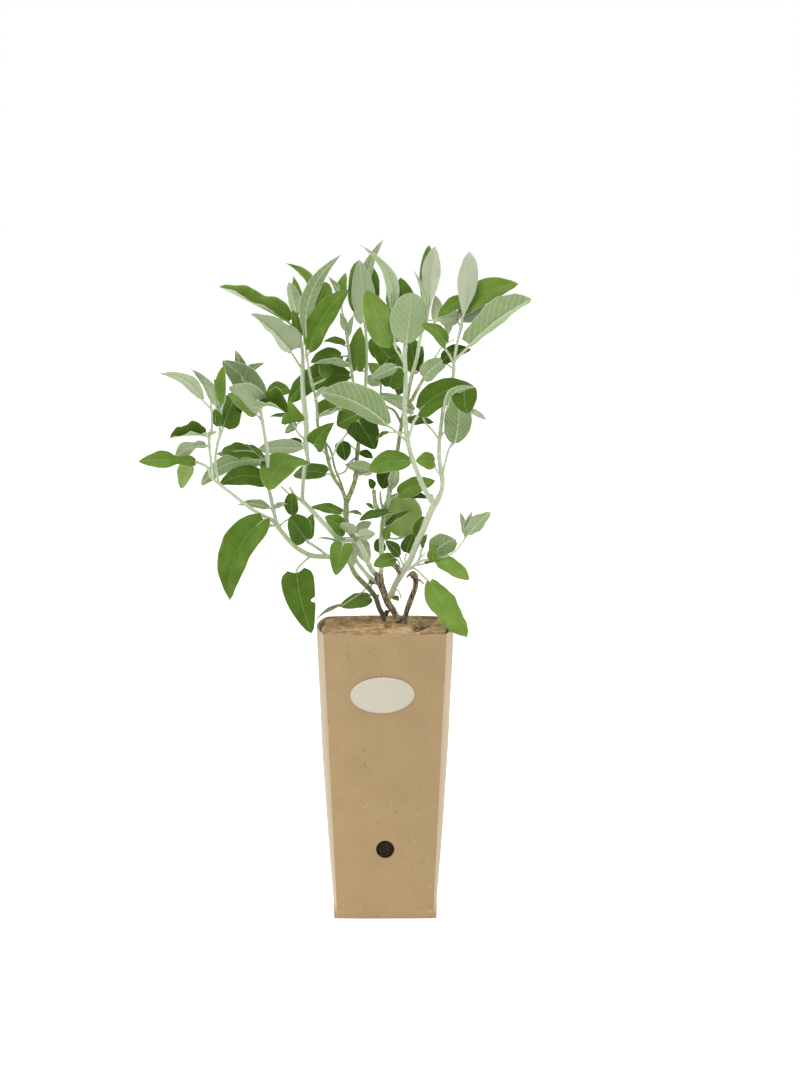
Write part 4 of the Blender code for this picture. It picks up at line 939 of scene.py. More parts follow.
# Woolly stem: white wool that lets olive bark through where it is thin. The wool's 0.9 mm strands,
# drawn coarser than real so that they show, run along the stem for 4 mm.
stem_wool, tree, shader, place_in = new_material("woolly_stem", 0.88, Sheen_Weight=0.35)
wool = add_node(tree, "ShaderNodeAttribute", attribute_name="wool").outputs["Fac"]
run = add_node(tree, "ShaderNodeMapping", [("Vector", place_in)], in_Scale=(1, 1, 0.25))
strands = add_node(
    tree, "ShaderNodeTexNoise", [("Vector", run.outputs[0])], in_Scale=1100.0, in_Detail=4.0
)
worn = add_node(
    tree, "ShaderNodeMapRange", [("Value", strands.outputs["Fac"])],
    in_From_Min=0.35, in_From_Max=0.65, in_To_Min=-0.3, in_To_Max=0.22,
)
cover = add_node(tree, "ShaderNodeMath", [(0, wool), (1, worn.outputs[0])], operation="ADD")
ramp = add_node(
    tree, "ShaderNodeValToRGB", [("Fac", cover.outputs[0])],
    ((0, "#5d5534"), (0.3, "#7f8c55"), (0.6, "#a9b88c"), (1, "#c3cbb3")),
)
paint(tree, shader, ramp.outputs["Color"], strands.outputs["Fac"], 0.0004, 0.8)

HAIR_BATCH = 80
HAIR_GAP = 0.00055
EDGE_HAIR_GAP = 0.0009
HAIR_LENGTH = (0.0007, 0.0015)
HAIR_RADIUS = 0.00006


def hair_piece(name, spots, chance):
    """Wool hairs: thin closed spikes that stand out from stems and leaf edges."""
    hair_bm = bmesh.new()
    batch_mesh = bpy.data.meshes.new(name)
    for first in range(0, len(spots), HAIR_BATCH):
        batch = bmesh.new()
        for spot, way in spots[first:first + HAIR_BATCH]:
            stray = Vector([chance.uniform(-0.7, 0.7) for axis in range(3)])
            way = (way + stray).normalized()
            long = chance.uniform(*HAIR_LENGTH)
            stood = way.to_track_quat("Z", "Y").to_matrix().to_4x4()
            bmesh.ops.create_cone(
                batch, cap_ends=True, segments=3, radius1=HAIR_RADIUS, radius2=0.0, depth=long,
                matrix=Matrix.Translation(spot + way * long * 0.45) @ stood,
            )
        batch.to_mesh(batch_mesh)
        batch.free()
        hair_bm.from_mesh(batch_mesh)
    bpy.data.meshes.remove(batch_mesh)
    new_piece(name, hair_bm, [woolly_edge])


def leafy_stem(name, stems, leaves, lean, wool_knots, seed):
    """Three pieces for the CAD node: its stems with their stalks, its blades and its wool hairs."""
    chance = random.Random(seed)
    stems = [stem._replace(points=[leaned(p, lean) for p in stem.points]) for stem in stems]
    leaves = [
        leaf._replace(
            base=leaned(leaf.base, lean), tip=leaned(leaf.tip, lean),
            via=[leaned(p, lean) for p in leaf.via],
        )
        for leaf in leaves
    ]
    nodes = [place(nearest_on(stems, leaf.join)) for leaf in leaves]
    stem_bm = bmesh.new()
    layer = stem_bm.verts.layers.float.new("wool")

    def wool_here(spot, share):
        return wool_at(wool_knots, spot.z / MM)

    for points, first, last in stems:
        steps = len(points) - 1
        radii = [first + (last - first) * index / steps for index in range(steps + 1)]
        places, widths = smooth_path([place(p) for p in points], radii)
        for index, spot in enumerate(places):
            near = min((spot - node).length for node in nodes)
            widths[index] += 0.35 * math.exp(-((near / 0.0022) ** 2))
        add_tube(stem_bm, places, widths, STEM_SIDES, layer=layer, wool=wool_here)
    blade_bm = bmesh.new()
    marks = {key: blade_bm.verts.layers.float.new(key) for key in ("tone", "edge", "rib", "vein")}
    marks["body"] = blade_bm.verts.layers.deform.new()
    for leaf in leaves:
        leaf = leaf._replace(twist=chance.uniform(-14, 14))
        axes, phase = add_blade(blade_bm, leaf, marks, chance)
        add_stalk(stem_bm, leaf, axes, phase, stems, layer)
    stem_bm.normal_update()
    spots = [
        (face.calc_center_median(), face.normal.copy()) for face in stem_bm.faces
        if chance.random() < face.calc_area() / HAIR_GAP ** 2
    ]
    for edge in blade_bm.edges:
        if edge.is_boundary and chance.random() < edge.calc_length() / EDGE_HAIR_GAP:
            middle = (edge.verts[0].co + edge.verts[1].co) / 2
            inward = edge.link_faces[0].calc_center_median()
            spots.append((middle, (middle - inward).normalized()))
    hair_piece(name + "_wool_hairs", spots, random.Random(seed + 50))
    new_piece(name + "_woolly_stems", stem_bm, [stem_wool], [name])
    skins = [upper_skin, under_skin, woolly_edge]
    blades = new_piece(name + "_blades", blade_bm, skins, [name])
    blades.vertex_groups.new(name="body")
    skin = blades.modifiers.new("thickness", "SOLIDIFY")
    skin.vertex_group = "body"
    skin.thickness = BLADE_THICK * MM
    skin.offset = -1
    skin.material_offset = 1
    skin.material_offset_rim = 2


# Low left stem: it has a root of its own, leans out low to the left and forks into two leafy
# ends. Its foot is bare olive bark, and the rest is woolly.
LOW_LEFT_ROOT = (-1, 250, 25)
LOW_LEFT_STEMS = [
    Stem([
        foot_of(LOW_LEFT_ROOT), LOW_LEFT_ROOT, (-5, 260, 22), (-8, 269, 18), (-13, 276, 13),
        (-20, 283, 8), (-26, 290, 3), (-31, 300, -3), (-39, 303, -8), (-48, 304, -12),
        (-62, 305, -18), (-71, 309, -22), (-76, 312.5, -24), (-81, 317, -26), (-86, 323, -28),
        (-90, 328, -30), (-93, 333, -31),
    ], 2.3, 1.9),
    Stem([(-7.5, 267, 19), (-5.3, 271.5, 18)], 1.0, 0.7),
    Stem([
        (-93, 333, -31), (-97, 336, -32), (-105, 340, -34), (-114, 345.5, -36), (-120, 350, -37),
        (-130, 358, -39), (-139, 365, -41), (-147, 372, -42), (-151, 381, -43), (-161, 385.5, -44),
    ], 1.7, 1.1),
    Stem([
        (-146, 371, -42), (-147, 380, -42), (-148.5, 395, -41), (-149, 406, -40), (-147, 412, -40),
        (-146.5, 424, -40), (-147.5, 437, -40),
    ], 1.3, 0.9),
    Stem([
        (-141, 367, -41), (-144, 384, -38), (-142, 400, -35), (-140, 410, -35), (-139, 428, -35),
    ], 1.2, 0.9),
    Stem([
        (-92, 331, -31), (-94, 340, -29), (-97, 355, -25), (-98.5, 362, -23), (-99.5, 378, -20),
        (-100, 395, -18), (-101.5, 405, -17), (-103, 415, -16), (-105.5, 430, -16),
    ], 1.7, 1.4),
    Stem([(-48, 304, -12), (-56, 310.5, -16), (-66, 317, -24)], 1.3, 1.1),
]
LOW_LEFT_LEAVES = [
    Leaf((-147, 430), (-154, 438, -42), (-191.5, 460, -50), 14, -50, "lance", 0.6, arch=0.08, sway=0.14),
    Leaf((-139, 426), (-142.5, 432, -36), (-164, 464, -40), 12, -50, "lance", 0.55, sway=0.08),
    Leaf((-139, 428), (-141, 443, -29), (-145, 456, -28), 7, 35, "small", 0.2),
    Leaf((-139, 428), (-137, 435, -38), (-136, 467, -40), 13, 75, "long", 0.6, curl=(1.5, -0.2)),
    Leaf((-140, 410), (-140, 416, -37), (-143, 430, -39), 8, 60, "small", 0.25),
    Leaf((-141, 400), (-137, 415, -31), (-124.5, 445, -8), 25, 75, "blunt", 0.22, wave=0.1),
    Leaf((-149, 406), (-152, 408, -41), (-182.5, 405, -50), 21, 42, "blunt", 0.35, fold=1.7, wave=0.2),
    Leaf((-149, 406), (-150, 408, -41), (-142, 411, -45), 6, -40, "small", 0.6),
    Leaf((-161, 385.5), (-161.5, 385, -45), (-209.5, 385.5, -52), 18, 60, "waisted", 0.55),
    Leaf((-161, 385.5), (-167, 383.5, -42), (-173.3, 362.3, -40), 15, 65, "heart", 0.85),
    Leaf((-149, 398), (-152, 400, -38), (-178.5, 388.5, -36), 14, -60, "waisted", 0.4, sway=0.1),
    Leaf((-100, 388), (-104, 387, -14), (-156.5, 365.3, -20), 18, -62, "blunt", 0.2, sway=0.13),
    Leaf((-100, 390), (-104, 391, -15), (-138.5, 395, -12), 15, 50, "round", 0.35, wave=0.2),
    Leaf((-100, 387), (-110, 388, -12), (-143, 392, -8), 12, -50, "broad", 0.45),
    Leaf((-100, 387), (-102, 388, -21), (-118.5, 400.5, -24), 8, 35, "lance", 0.25),
    Leaf((-99, 371), (-101.5, 369.5, -23), (-141, 366, -34), 20, 62, "broad", 0.22, sway=0.12),
    Leaf((-95, 345), (-98, 346, -29), (-125.5, 348.5, -35), 11, -38, "lance", 0.15, sway=0.06),
    Leaf((-95, 345), (-93.5, 346, -28), (-82, 349, -31), 9, -32, "small", 0.4, arch=0.15),
    Leaf((-92, 331), (-95, 331, -33), (-104, 328.5, -36), 6, -25, "lance", 0.6),
    Leaf(
        (-93, 333), (-103, 336, -40), (-132.5, 266.5, -50), 33, 60, "broad", 0.4,
        via=((-98, 337.5, -36),), sway=0.12, fold=0.4,
    ),
    Leaf(
        (-90, 330), (-79, 340, -28), (-79, 359, -30), 13, 72, "round", 0.25,
        via=((-86, 334, -31), (-81, 337, -29)),
    ),
    Leaf(
        (-62, 305), (-75.5, 290, -28), (-63, 238, -44), 29, 78, "heart", 0.35, sway=-0.05,
        via=((-69, 300, -23), (-74.5, 294, -27)), bite=(0.5, 1, 0.4),
    ),
    Leaf((-66, 317), (-67.5, 318.5, -27), (-81.5, 338, -44), 23, 75, "round", 0.2),
    Leaf((-66, 317), (-66, 320, -22), (-61.5, 341, -18), 12, 65, "broad", 0.3),
    Leaf((-104, 420), (-109.5, 427, -19), (-133, 443.5, -25), 15, 62, "broad", 0.7),
    Leaf(
        (-105, 429), (-105.5, 430, -26), (-131.6, 449, -34), 21, -66, "blunt", 0.5, sway=0.15,
        curl=(-0.2, -0.8),
    ),
    Leaf(
        (-105, 430), (-106.5, 437, -10), (-137.5, 471.3, -20), 24, -75, "broad", 0.02, sway=0.05,
        veins=3.4,
    ),
    Leaf(
        (-105, 430), (-120, 455, -12), (-126.2, 480.3, -12), 11, -58, "lance", 0.1,
        via=((-111, 444, -13),),
    ),
    Leaf(
        (-105, 430), (-119, 460, -8), (-101.5, 469.3, -6), 9.6, -46, "lance", 0.25,
        via=((-110, 446, -12),),
    ),
    Leaf(
        (-105, 430), (-108, 433, -26), (-82, 426, -38), 29, 42, "round", 0.15, arch=0.14, fold=1.7,
        wave=0.14,
    ),
    Leaf((-105, 429), (-99.5, 443, -11), (-80, 446, -6), 15, 62, "round", 0.3, sway=0.1),
    Leaf((-1, 252), (0, 254, 23), (4, 257.5, 20), 6, 60, "small", 0.2),
]
leafy_stem(
    "low_left_stem", LOW_LEFT_STEMS, LOW_LEFT_LEAVES, -45,
    ((250, 0), (266, 0.15), (285, 0.35), (305, 0.6), (340, 0.9)), 11,
)


# Tall left stem: it starts on the cut trunk, crosses to the left and stands tallest there, white
# with wool, with large leaves in pairs.
TALL_LEFT_STEMS = [
    Stem([
        (-6, 287, 8), (-10, 291, 8), (-14, 298, 7), (-18, 308, 5), (-23, 317, 3), (-30, 319, 1),
        (-36, 318.5, 0), (-40, 319.5, 0), (-45, 325, 1), (-50, 330.5, 3), (-60, 341, 7),
        (-65, 346.5, 9), (-70.5, 352, 11),
    ], 2.3, 2.1),
    Stem([(-70, 351, 11), (-70, 362, 12), (-68, 380, 12), (-65.5, 387, 12), (-67, 396, 12)], 1.8, 1.6),
    Stem([(-66, 391, 12), (-67, 400, 12), (-66.5, 410, 12), (-67, 420, 12), (-69, 440, 12)], 2.0, 2.6),
    Stem([(-68.5, 436, 12), (-69.5, 457, 12), (-69.5, 475, 12), (-70.5, 487, 12)], 2.3, 1.4),
    Stem([(-70, 352, 11), (-76, 356, 9), (-81, 363.5, 7)], 1.4, 1.0),
    Stem([(-71, 352, 11), (-80, 356.5, 2), (-88, 364, -9)], 0.9, 0.8),
]
TALL_LEFT_LEAVES = [
    Leaf((-34, 318.5), (-35.5, 315.5, -11), (-42, 288, -19), 20, 78, "heart", 0.5),
    Leaf((-39, 319), (-42, 318, -4), (-60, 319.7, -7), 8, -18, "lance", 0.5),
    Leaf((-66, 386), (-67.5, 386, -8), (-99, 361, -68), 29, 60, "round", 0.55, sway=0.12, fold=0.3),
    Leaf((-67, 398), (-70.5, 397, 8), (-108, 396, -16), 15, -55, "long", 0.55),
    Leaf((-67, 400), (-71, 402, 10), (-86, 403, 12), 10, 30, "broad", 0.15),
    Leaf(
        (-67, 404), (-78, 419, 1), (-80.5, 437.5, -6), 21, 80, "arrow", 0.55,
        via=((-72, 408, 6), (-76, 414, 3)),
    ),
    Leaf((-68, 425), (-75, 417, 6), (-85, 409.5, 2), 10, -50, "broad", 0.5),
    Leaf((-68, 424), (-78, 424, 7), (-98, 423.5, 1), 8, 30, "small", 0.15),
    Leaf(
        (-70.5, 487), (-81, 503.5, 8), (-139.5, 533, -6), 25, 46, "blunt", 0.62,
        via=((-74, 496, 11),), fold=1.35, sway=-0.05, wave=0.16,
    ),
    Leaf(
        (-69, 463), (-79, 479, 2), (-113.5, 510.5, -18), 32, -45, "heart", 0.55,
        via=((-74, 470, 8),), fold=0.66, veins=2.6,
    ),
    Leaf(
        (-70.5, 487), (-74.5, 511, 10), (-81, 537, 6), 12.5, -72, "long", 0.6,
        via=((-71, 499, 13),), fold=0.5,
    ),
    Leaf((-70.5, 487), (-73, 510, 17), (-77, 542, 20), 12, 62, "lance", 0.6, via=((-71, 498, 15),)),
    Leaf((-70.5, 485), (-72.5, 491, 9), (-78, 514, 5), 10, 60, "broad", 0.5),
]
leafy_stem("tall_left_stem", TALL_LEFT_STEMS, TALL_LEFT_LEAVES, 45, ((285, 0.6), (320, 0.95)), 12)


# Centre stem: it forks off the tall left one and fills the middle with crowded leaves. Its old
# part is olive, and its tips are silver.
CENTRE_STEMS = [
    Stem([(-24, 318, 3), (-30, 326, 4), (-33, 335, 5), (-33, 342, 6), (-33, 352, 7)], 2.4, 2.3),
    Stem([
        (-33, 350, 7), (-35, 358, 7), (-38, 364, 6), (-43, 371, 4), (-47, 382, 3), (-51, 400, 1),
        (-54, 408, 0), (-57, 417, -2), (-57.5, 430, -4), (-59, 441, -5), (-63, 458, -6),
        (-66.5, 478, -6), (-66, 495, -6),
    ], 1.7, 1.0),
    Stem([(-34.5, 357, 7), (-37, 366, 9), (-42.5, 380, 9), (-46, 395, 8), (-52, 404, 1)], 1.0, 0.9),
    Stem([
        (-33, 350, 7), (-28, 362, 9), (-25, 372, 10), (-23, 396, 12), (-20, 415, 13),
        (-17, 440, 14), (-15.3, 480, 14), (-17.5, 514, 12),
    ], 2.3, 1.2),
    Stem([(-18, 430, 13), (-25, 445, 12), (-28.5, 465, 9), (-31.5, 487, 7), (-34, 505, 6)], 1.4, 0.9),
    Stem([(-43.5, 372, 4), (-40, 374.6, -3), (-34, 377, -3), (-29.5, 385, 6), (-24, 389, 11)], 0.7, 0.7),
]
CENTRE_LEAVES = [
    Leaf((-33, 343), (-30, 343, 3), (-19.5, 339.5, -3), 9, 28, "small", 0.3),
    Leaf((-33, 342), (-37.5, 341.5, 8), (-63, 346.8, 18), 15, 30, "broad", 0.45),
    Leaf((-31, 328), (-34, 326, -1), (-51.5, 338.5, -10), 18, 60, "broad", 0.42),
    Leaf((-29, 325), (-26, 325, -3), (-38, 333, -13), 11, -60, "broad", 0.6),
    Leaf((-27, 322), (-23, 322, -1), (-8, 324, -6), 11, -70, "small", 0.7),
    Leaf((-30, 326), (-25, 325, 6), (-11, 334, 8), 11, -60, "small", 0.7),
    Leaf((-65.5, 474), (-64, 480, -8), (-30.5, 531, -18), 24, 62, "long", 0.36, sway=0.06),
    Leaf((-66, 486), (-66.5, 493, -8), (-36.5, 560, -16), 15, -62, "lance", 0.2, sway=0.12, veins=6),
    Leaf(
        (-66, 495), (-61, 522, 0), (-83.5, 552.8, 4), 15, 42, "lance", 0.75, via=((-65, 509, -3),),
        sway=0.14, fold=1.1,
    ),
    Leaf((-66, 494), (-59, 508, -2), (-49, 537, 3), 20, 66, "round", 0.45, via=((-64, 502, -4),)),
    Leaf((-34, 504), (-38, 524, 6), (-32.5, 545, 8), 11, 58, "lance", 0.6, via=((-36, 513, 6),)),
    Leaf((-34, 504), (-37.5, 526, 4), (-47.5, 541.5, 5), 8, -42, "lance", 0.4, via=((-36, 514, 5),)),
    Leaf((-58.5, 438), (-58, 440, -9), (-46, 448, -12), 8, -30, "small", 0.6, arch=0.2),
    Leaf((-27.5, 457), (-30, 458, 12), (-83, 434, 40), 25, 60, "long", 0.25, sway=0.14, wave=0.12),
    Leaf((-30, 475), (-37, 475, 8), (-63, 469, 2), 16, 60, "broad", 0.48, sway=0.08),
    Leaf((-54, 452), (-50, 456, 6), (-52.5, 470, 10), 12, 62, "round", 0.55),
    Leaf((-28.5, 463), (-30, 466, 2), (-59, 469, -2), 12, -32, "long", 0.3, sway=0.07),
    Leaf((-31, 483), (-34, 484, 10), (-52, 487, 13), 11, 42, "broad", 0.6, fold=0.9),
    Leaf((-57.5, 426), (-55.5, 425, -3), (-35.5, 429, 4), 25, 42, "blunt", 0.5, fold=1.4, wave=0.15),
    Leaf((-57.3, 422), (-55, 424, -6), (-36, 429.5, -7), 9, -30, "lance", 0.5),
    Leaf(
        (-48.5, 389), (-60, 399, -2), (-42.5, 419, -6), 20, 68, "arrow", 0.38,
        via=((-54, 396, -1),), sway=0.05, veins=7,
    ),
    Leaf((-44, 374), (-50, 375.5, 12), (-78, 374, 54), 17, 50, "broad", 0.3),
    Leaf(
        (-23, 394), (-37, 402, 4), (-33.5, 386, 1), 14, 75, "broad", 0.05,
        via=((-29, 399, 7), (-35, 403, 5)),
    ),
    Leaf((-25, 373), (-11, 377, 7), (-34, 383, 2), 15, -55, "broad", 0.3, via=((-17, 375, 8),)),
    Leaf((-23, 395), (-21, 394, 9), (-10, 388, 4), 9, 50, "small", 0.15),
    Leaf((-19, 424), (-22, 426, 9), (-41, 416, 0), 24, 75, "broad", 0.38),
    Leaf(
        (-47.5, 387), (-22.5, 420, -5), (-8, 396, -8), 28, 80, "heart", 0,
        via=((-44, 391, -1), (-40, 400, -3), (-36, 404.5, -4), (-30, 412, -5)),
    ),
    Leaf((-16, 503), (-17.5, 504, 8), (-21.6, 556, 0), 21, -75, "broad", 0.5, veins=2.8),
    Leaf((-17, 506), (-15.5, 511, 18), (-13.5, 552, 26), 21, 70, "long", 0.3, sway=-0.05),
    Leaf((-17, 506), (-21, 510, 15), (-22.5, 555, 22), 26, 72, "long", 0.42, sway=0.04),
    Leaf((-16, 462), (-23.5, 463, 12), (-20.5, 500, 8), 17, 70, "broad", 0.55),
    Leaf((-33, 494), (-33, 496, 5), (-38, 512, 3), 8, -60, "lance", 0.5),
    Leaf((-32, 489), (-31, 491, 9), (-26, 510, 11), 7, -50, "lance", 0.5),
    Leaf(
        (-17.5, 513), (-17, 528, 14), (-1, 572.5, 10), 12, -52, "lance", 0.3, via=((-18, 521, 14),),
        sway=0.06,
    ),
]
leafy_stem(
    "centre_stem", CENTRE_STEMS, CENTRE_LEAVES, 22,
    ((315, 0.4), (350, 0.3), (440, 0.5), (510, 0.95)), 13,
)


# Woolly shoot: a short new shoot beside the cut trunk, thick with white wool, whose low leaf
# leans out over the left rim.
WOOLLY_STEMS = [
    Stem([
        (-3.5, 280, 9.5), (-9, 283, 11), (-13, 286, 13), (-18, 292, 16), (-24, 300, 18),
        (-27, 308, 19), (-27, 317, 20), (-26, 323, 22),
    ], 2.0, 1.4),
]
WOOLLY_LEAVES = [
    Leaf((-26, 322), (-24, 321, 24), (-14, 297, 24), 15, -75, "small", 0.8),
    Leaf((-27, 316), (-29, 315, 17), (-28, 294, 14), 10, -75, "small", 0.8),
    Leaf((-9, 283), (-10, 282.5, 8), (-14, 281, 3), 6, 60, "small", 0.35),
    Leaf(
        (-11, 284.5), (-13, 269, 23), (-39, 261, 14), 17, 50, "broad", 0.5, sway=-0.06,
        via=((-12, 278, 21),),
    ),
    Leaf(
        (-12, 286), (-36, 263, 14), (-60.5, 248, 3), 7, -30, "lance", 0.8, via=((-17, 276, 22),),
        arch=0.1,
    ),
]
leafy_stem("woolly_shoot", WOOLLY_STEMS, WOOLLY_LEAVES, 0, ((280, 0.8), (290, 1)), 14)


# Upright stem: olive and bare low down behind the cut trunk, it runs straight up through the
# middle.
UPRIGHT_STEMS = [
    Stem([
        (-4, 284, 10), (-3.5, 289, 13), (-3, 296, 15), (-3, 319, 16), (-1, 342, 18), (2.5, 353, 19),
        (7, 375, 20), (11, 397, 19), (13, 411, 17), (15.5, 424, 14), (18.5, 436, 12), (22, 455, 12),
        (27, 473, 12), (30.5, 493, 12), (35, 505, 12), (38, 520, 12),
    ], 2.1, 1.5),
    Stem([(18, 434, 12), (23, 438, 12), (26, 444, 12), (34, 458, 12)], 1.9, 1.5),
    Stem([(-1.5, 340, 18), (-7.5, 347, 15), (-9, 355, 14), (-9.5, 361, 14)], 1.9, 1.6),
    Stem([(-1, 343, 18), (-3.5, 352, 14), (-4, 360, 12)], 1.1, 0.9),
    Stem([(0, 345, 18), (2.5, 352, 12), (4, 363, 10), (6, 367.5, 9)], 2.3, 1.6),
    Stem([
        (14, 418, 15), (8, 428.5, 14), (1, 432.5, 14), (-2, 438, 13), (-3.5, 446, 12),
        (-3, 455, 12),
    ], 1.2, 0.8),
    Stem([
        (33, 456, 12), (38, 468, 11), (44, 476, 9), (47.5, 482, 8), (51, 485, 6), (59, 489, 4),
    ], 1.0, 0.6),
]
UPRIGHT_LEAVES = [
    Leaf((-1, 342), (4.5, 342.5, 10), (-22, 335, 2), 15, 25, "broad", 0.3, via=((2, 344, 13),)),
    Leaf((-7.5, 347), (-10, 346, 13), (-17, 349.5, 10), 7, 35, "small", 0.4),
    Leaf((-3, 306), (-4, 308, 18), (-6, 320, 22), 11, 70, "broad", 0.3),
    Leaf((-2.5, 317), (0, 319, 12), (4, 331, 6), 9, 60, "small", 0.6),
    Leaf((7.5, 377), (3, 380, 24), (-2, 362, 28), 17, 80, "broad", 0.08),
    Leaf((-9.5, 361), (-9.5, 363, 12), (-14, 371, 8), 8, 60, "small", 0.1),
    Leaf((4.5, 361), (6.5, 363, 14), (11, 382, 9), 11, -60, "small", 0.5),
    Leaf((1, 350), (12, 358, 15), (43, 369, 10), 20, 52, "broad", 0.55, via=((6, 354, 17),)),
    Leaf((2, 352), (13, 357, 18), (37, 354, 13), 13, 35, "broad", 0.1, via=((7, 355, 18),)),
    Leaf((-1.5, 331), (1, 331, 12), (22, 343, 6), 13, 25, "broad", 0.15),
    Leaf((-2.5, 322), (17, 321.5, 26), (11, 359, 31), 35, 80, "round", 0.95, via=((7, 319.5, 23),)),
    Leaf((-3, 455), (-3.5, 458, 12), (-14, 469, 8), 13, 55, "small", 0.6),
    Leaf((-3, 451), (-4, 451, 11), (-17, 457, 7), 14, -55, "round", 0.2),
    Leaf((-3, 455), (9, 468, 22), (-13, 489, 22), 24, 68, "blunt", 0.3, via=((2, 461, 18),), wave=0.2),
    Leaf((-3, 455), (-18, 474, 12), (-34, 470, 6), 12, 50, "small", 0.6, via=((-9, 463, 13),)),
    Leaf((22, 456), (24.5, 460, 17), (21.5, 491, 22), 20, 72, "round", 0.2),
    Leaf((24, 461), (29, 463, 20), (32, 484, 26), 10, 55, "small", 0.5),
    Leaf((15, 422), (24, 428.5, 17), (-6.5, 443, 24), 14, -55, "broad", 0.4, via=((21, 424, 16),)),
    Leaf((34, 458), (32.5, 457, 10), (52, 471, 10), 18, -62, "blunt", 0.35, sway=0.05),
    Leaf((38, 519), (38, 520, 10), (42.1, 567, 6), 17, -75, "spindle", 0.85, veins=2.2),
    Leaf((38, 517), (35.8, 519, 20), (37.2, 568, 21), 13, 72, "long", 0.5),
    Leaf((36.5, 512), (36, 514, 8), (24.2, 546.6, 4), 8, -40, "lance", 0.3),
    Leaf((35, 505), (44, 504, 16), (42.5, 526, 22), 12, -65, "broad", 0.5, via=((39, 505, 14),)),
]
leafy_stem(
    "upright_stem", UPRIGHT_STEMS, UPRIGHT_LEAVES, 60,
    ((290, 0.8), (345, 0.65), (375, 0.3), (430, 0.25), (465, 0.7), (510, 1)), 15,
)


# Right stem: thick and white from its start on the cut trunk, it forks at a knot into the two
# tall ends on the right.
RIGHT_STEMS = [
    Stem([
        (1.2, 267.5, 12), (5, 271, 9), (8, 278, 6), (11, 284, 3), (17, 294, 0), (22, 302, -2),
        (25, 310, -4), (33, 328, -8), (36, 336, -9), (42, 349.5, -11),
    ], 2.4, 2.9),
    Stem([
        (42, 348, -11), (36, 357.5, -12), (30, 370, -12), (23.5, 387, -11), (20, 400, -10),
        (18, 412, -9), (16.8, 425, -8), (17.5, 455, -8), (16.8, 475, -8), (17.5, 484, -8),
    ], 2.2, 1.7),
    Stem([
        (42, 347, -11), (45, 352, -13), (48, 360, -14), (49, 368, -14), (46.5, 385, -13),
        (46, 395, -12), (46.5, 405, -11), (49, 428, -8), (51, 441, -6), (57.5, 457, -5),
        (58.5, 471, -5),
    ], 2.1, 1.4),
    Stem([(42, 348, -11), (45.5, 357, -16)], 1.8, 1.4),
    Stem([(42, 348, -11), (39.5, 357, -15)], 1.6, 1.2),
    Stem([(17, 468, -8), (12, 477, -8), (9, 483, -8), (6.5, 508, -6)], 1.2, 0.8),
    Stem([(19.5, 402, -10), (22, 412, -12), (24, 418, -14), (29, 426, -16)], 1.1, 1.0),
    Stem([(58.5, 470, -5), (61.5, 488, -6), (64.5, 500, -6), (65, 508, -6)], 1.2, 1.1),
    Stem([(58, 468, -5), (55, 475, -6), (50, 482, -8)], 1.1, 0.9),
    Stem([(58.5, 470, -5), (62, 474, -6), (71, 483, -8)], 1.2, 1.0),
    Stem([(46.4, 403, -11), (40, 412.5, -10), (35, 417.5, -8), (30.5, 426, -6)], 0.8, 0.7),
    Stem([(46.4, 405, -11), (51.5, 412.5, -12)], 0.7, 0.6),
    Stem([(49, 370, -14), (50, 379, -15), (54, 395, -17), (57, 400, -18)], 1.1, 0.9),
    Stem([(49, 428, -8), (50, 431, -28), (52, 440, -30), (56, 446, -31), (66, 447.5, -33)], 1.2, 0.9),
    Stem([(8, 277, 6), (12, 274, 2), (14, 268, 1)], 0.7, 0.6),
]
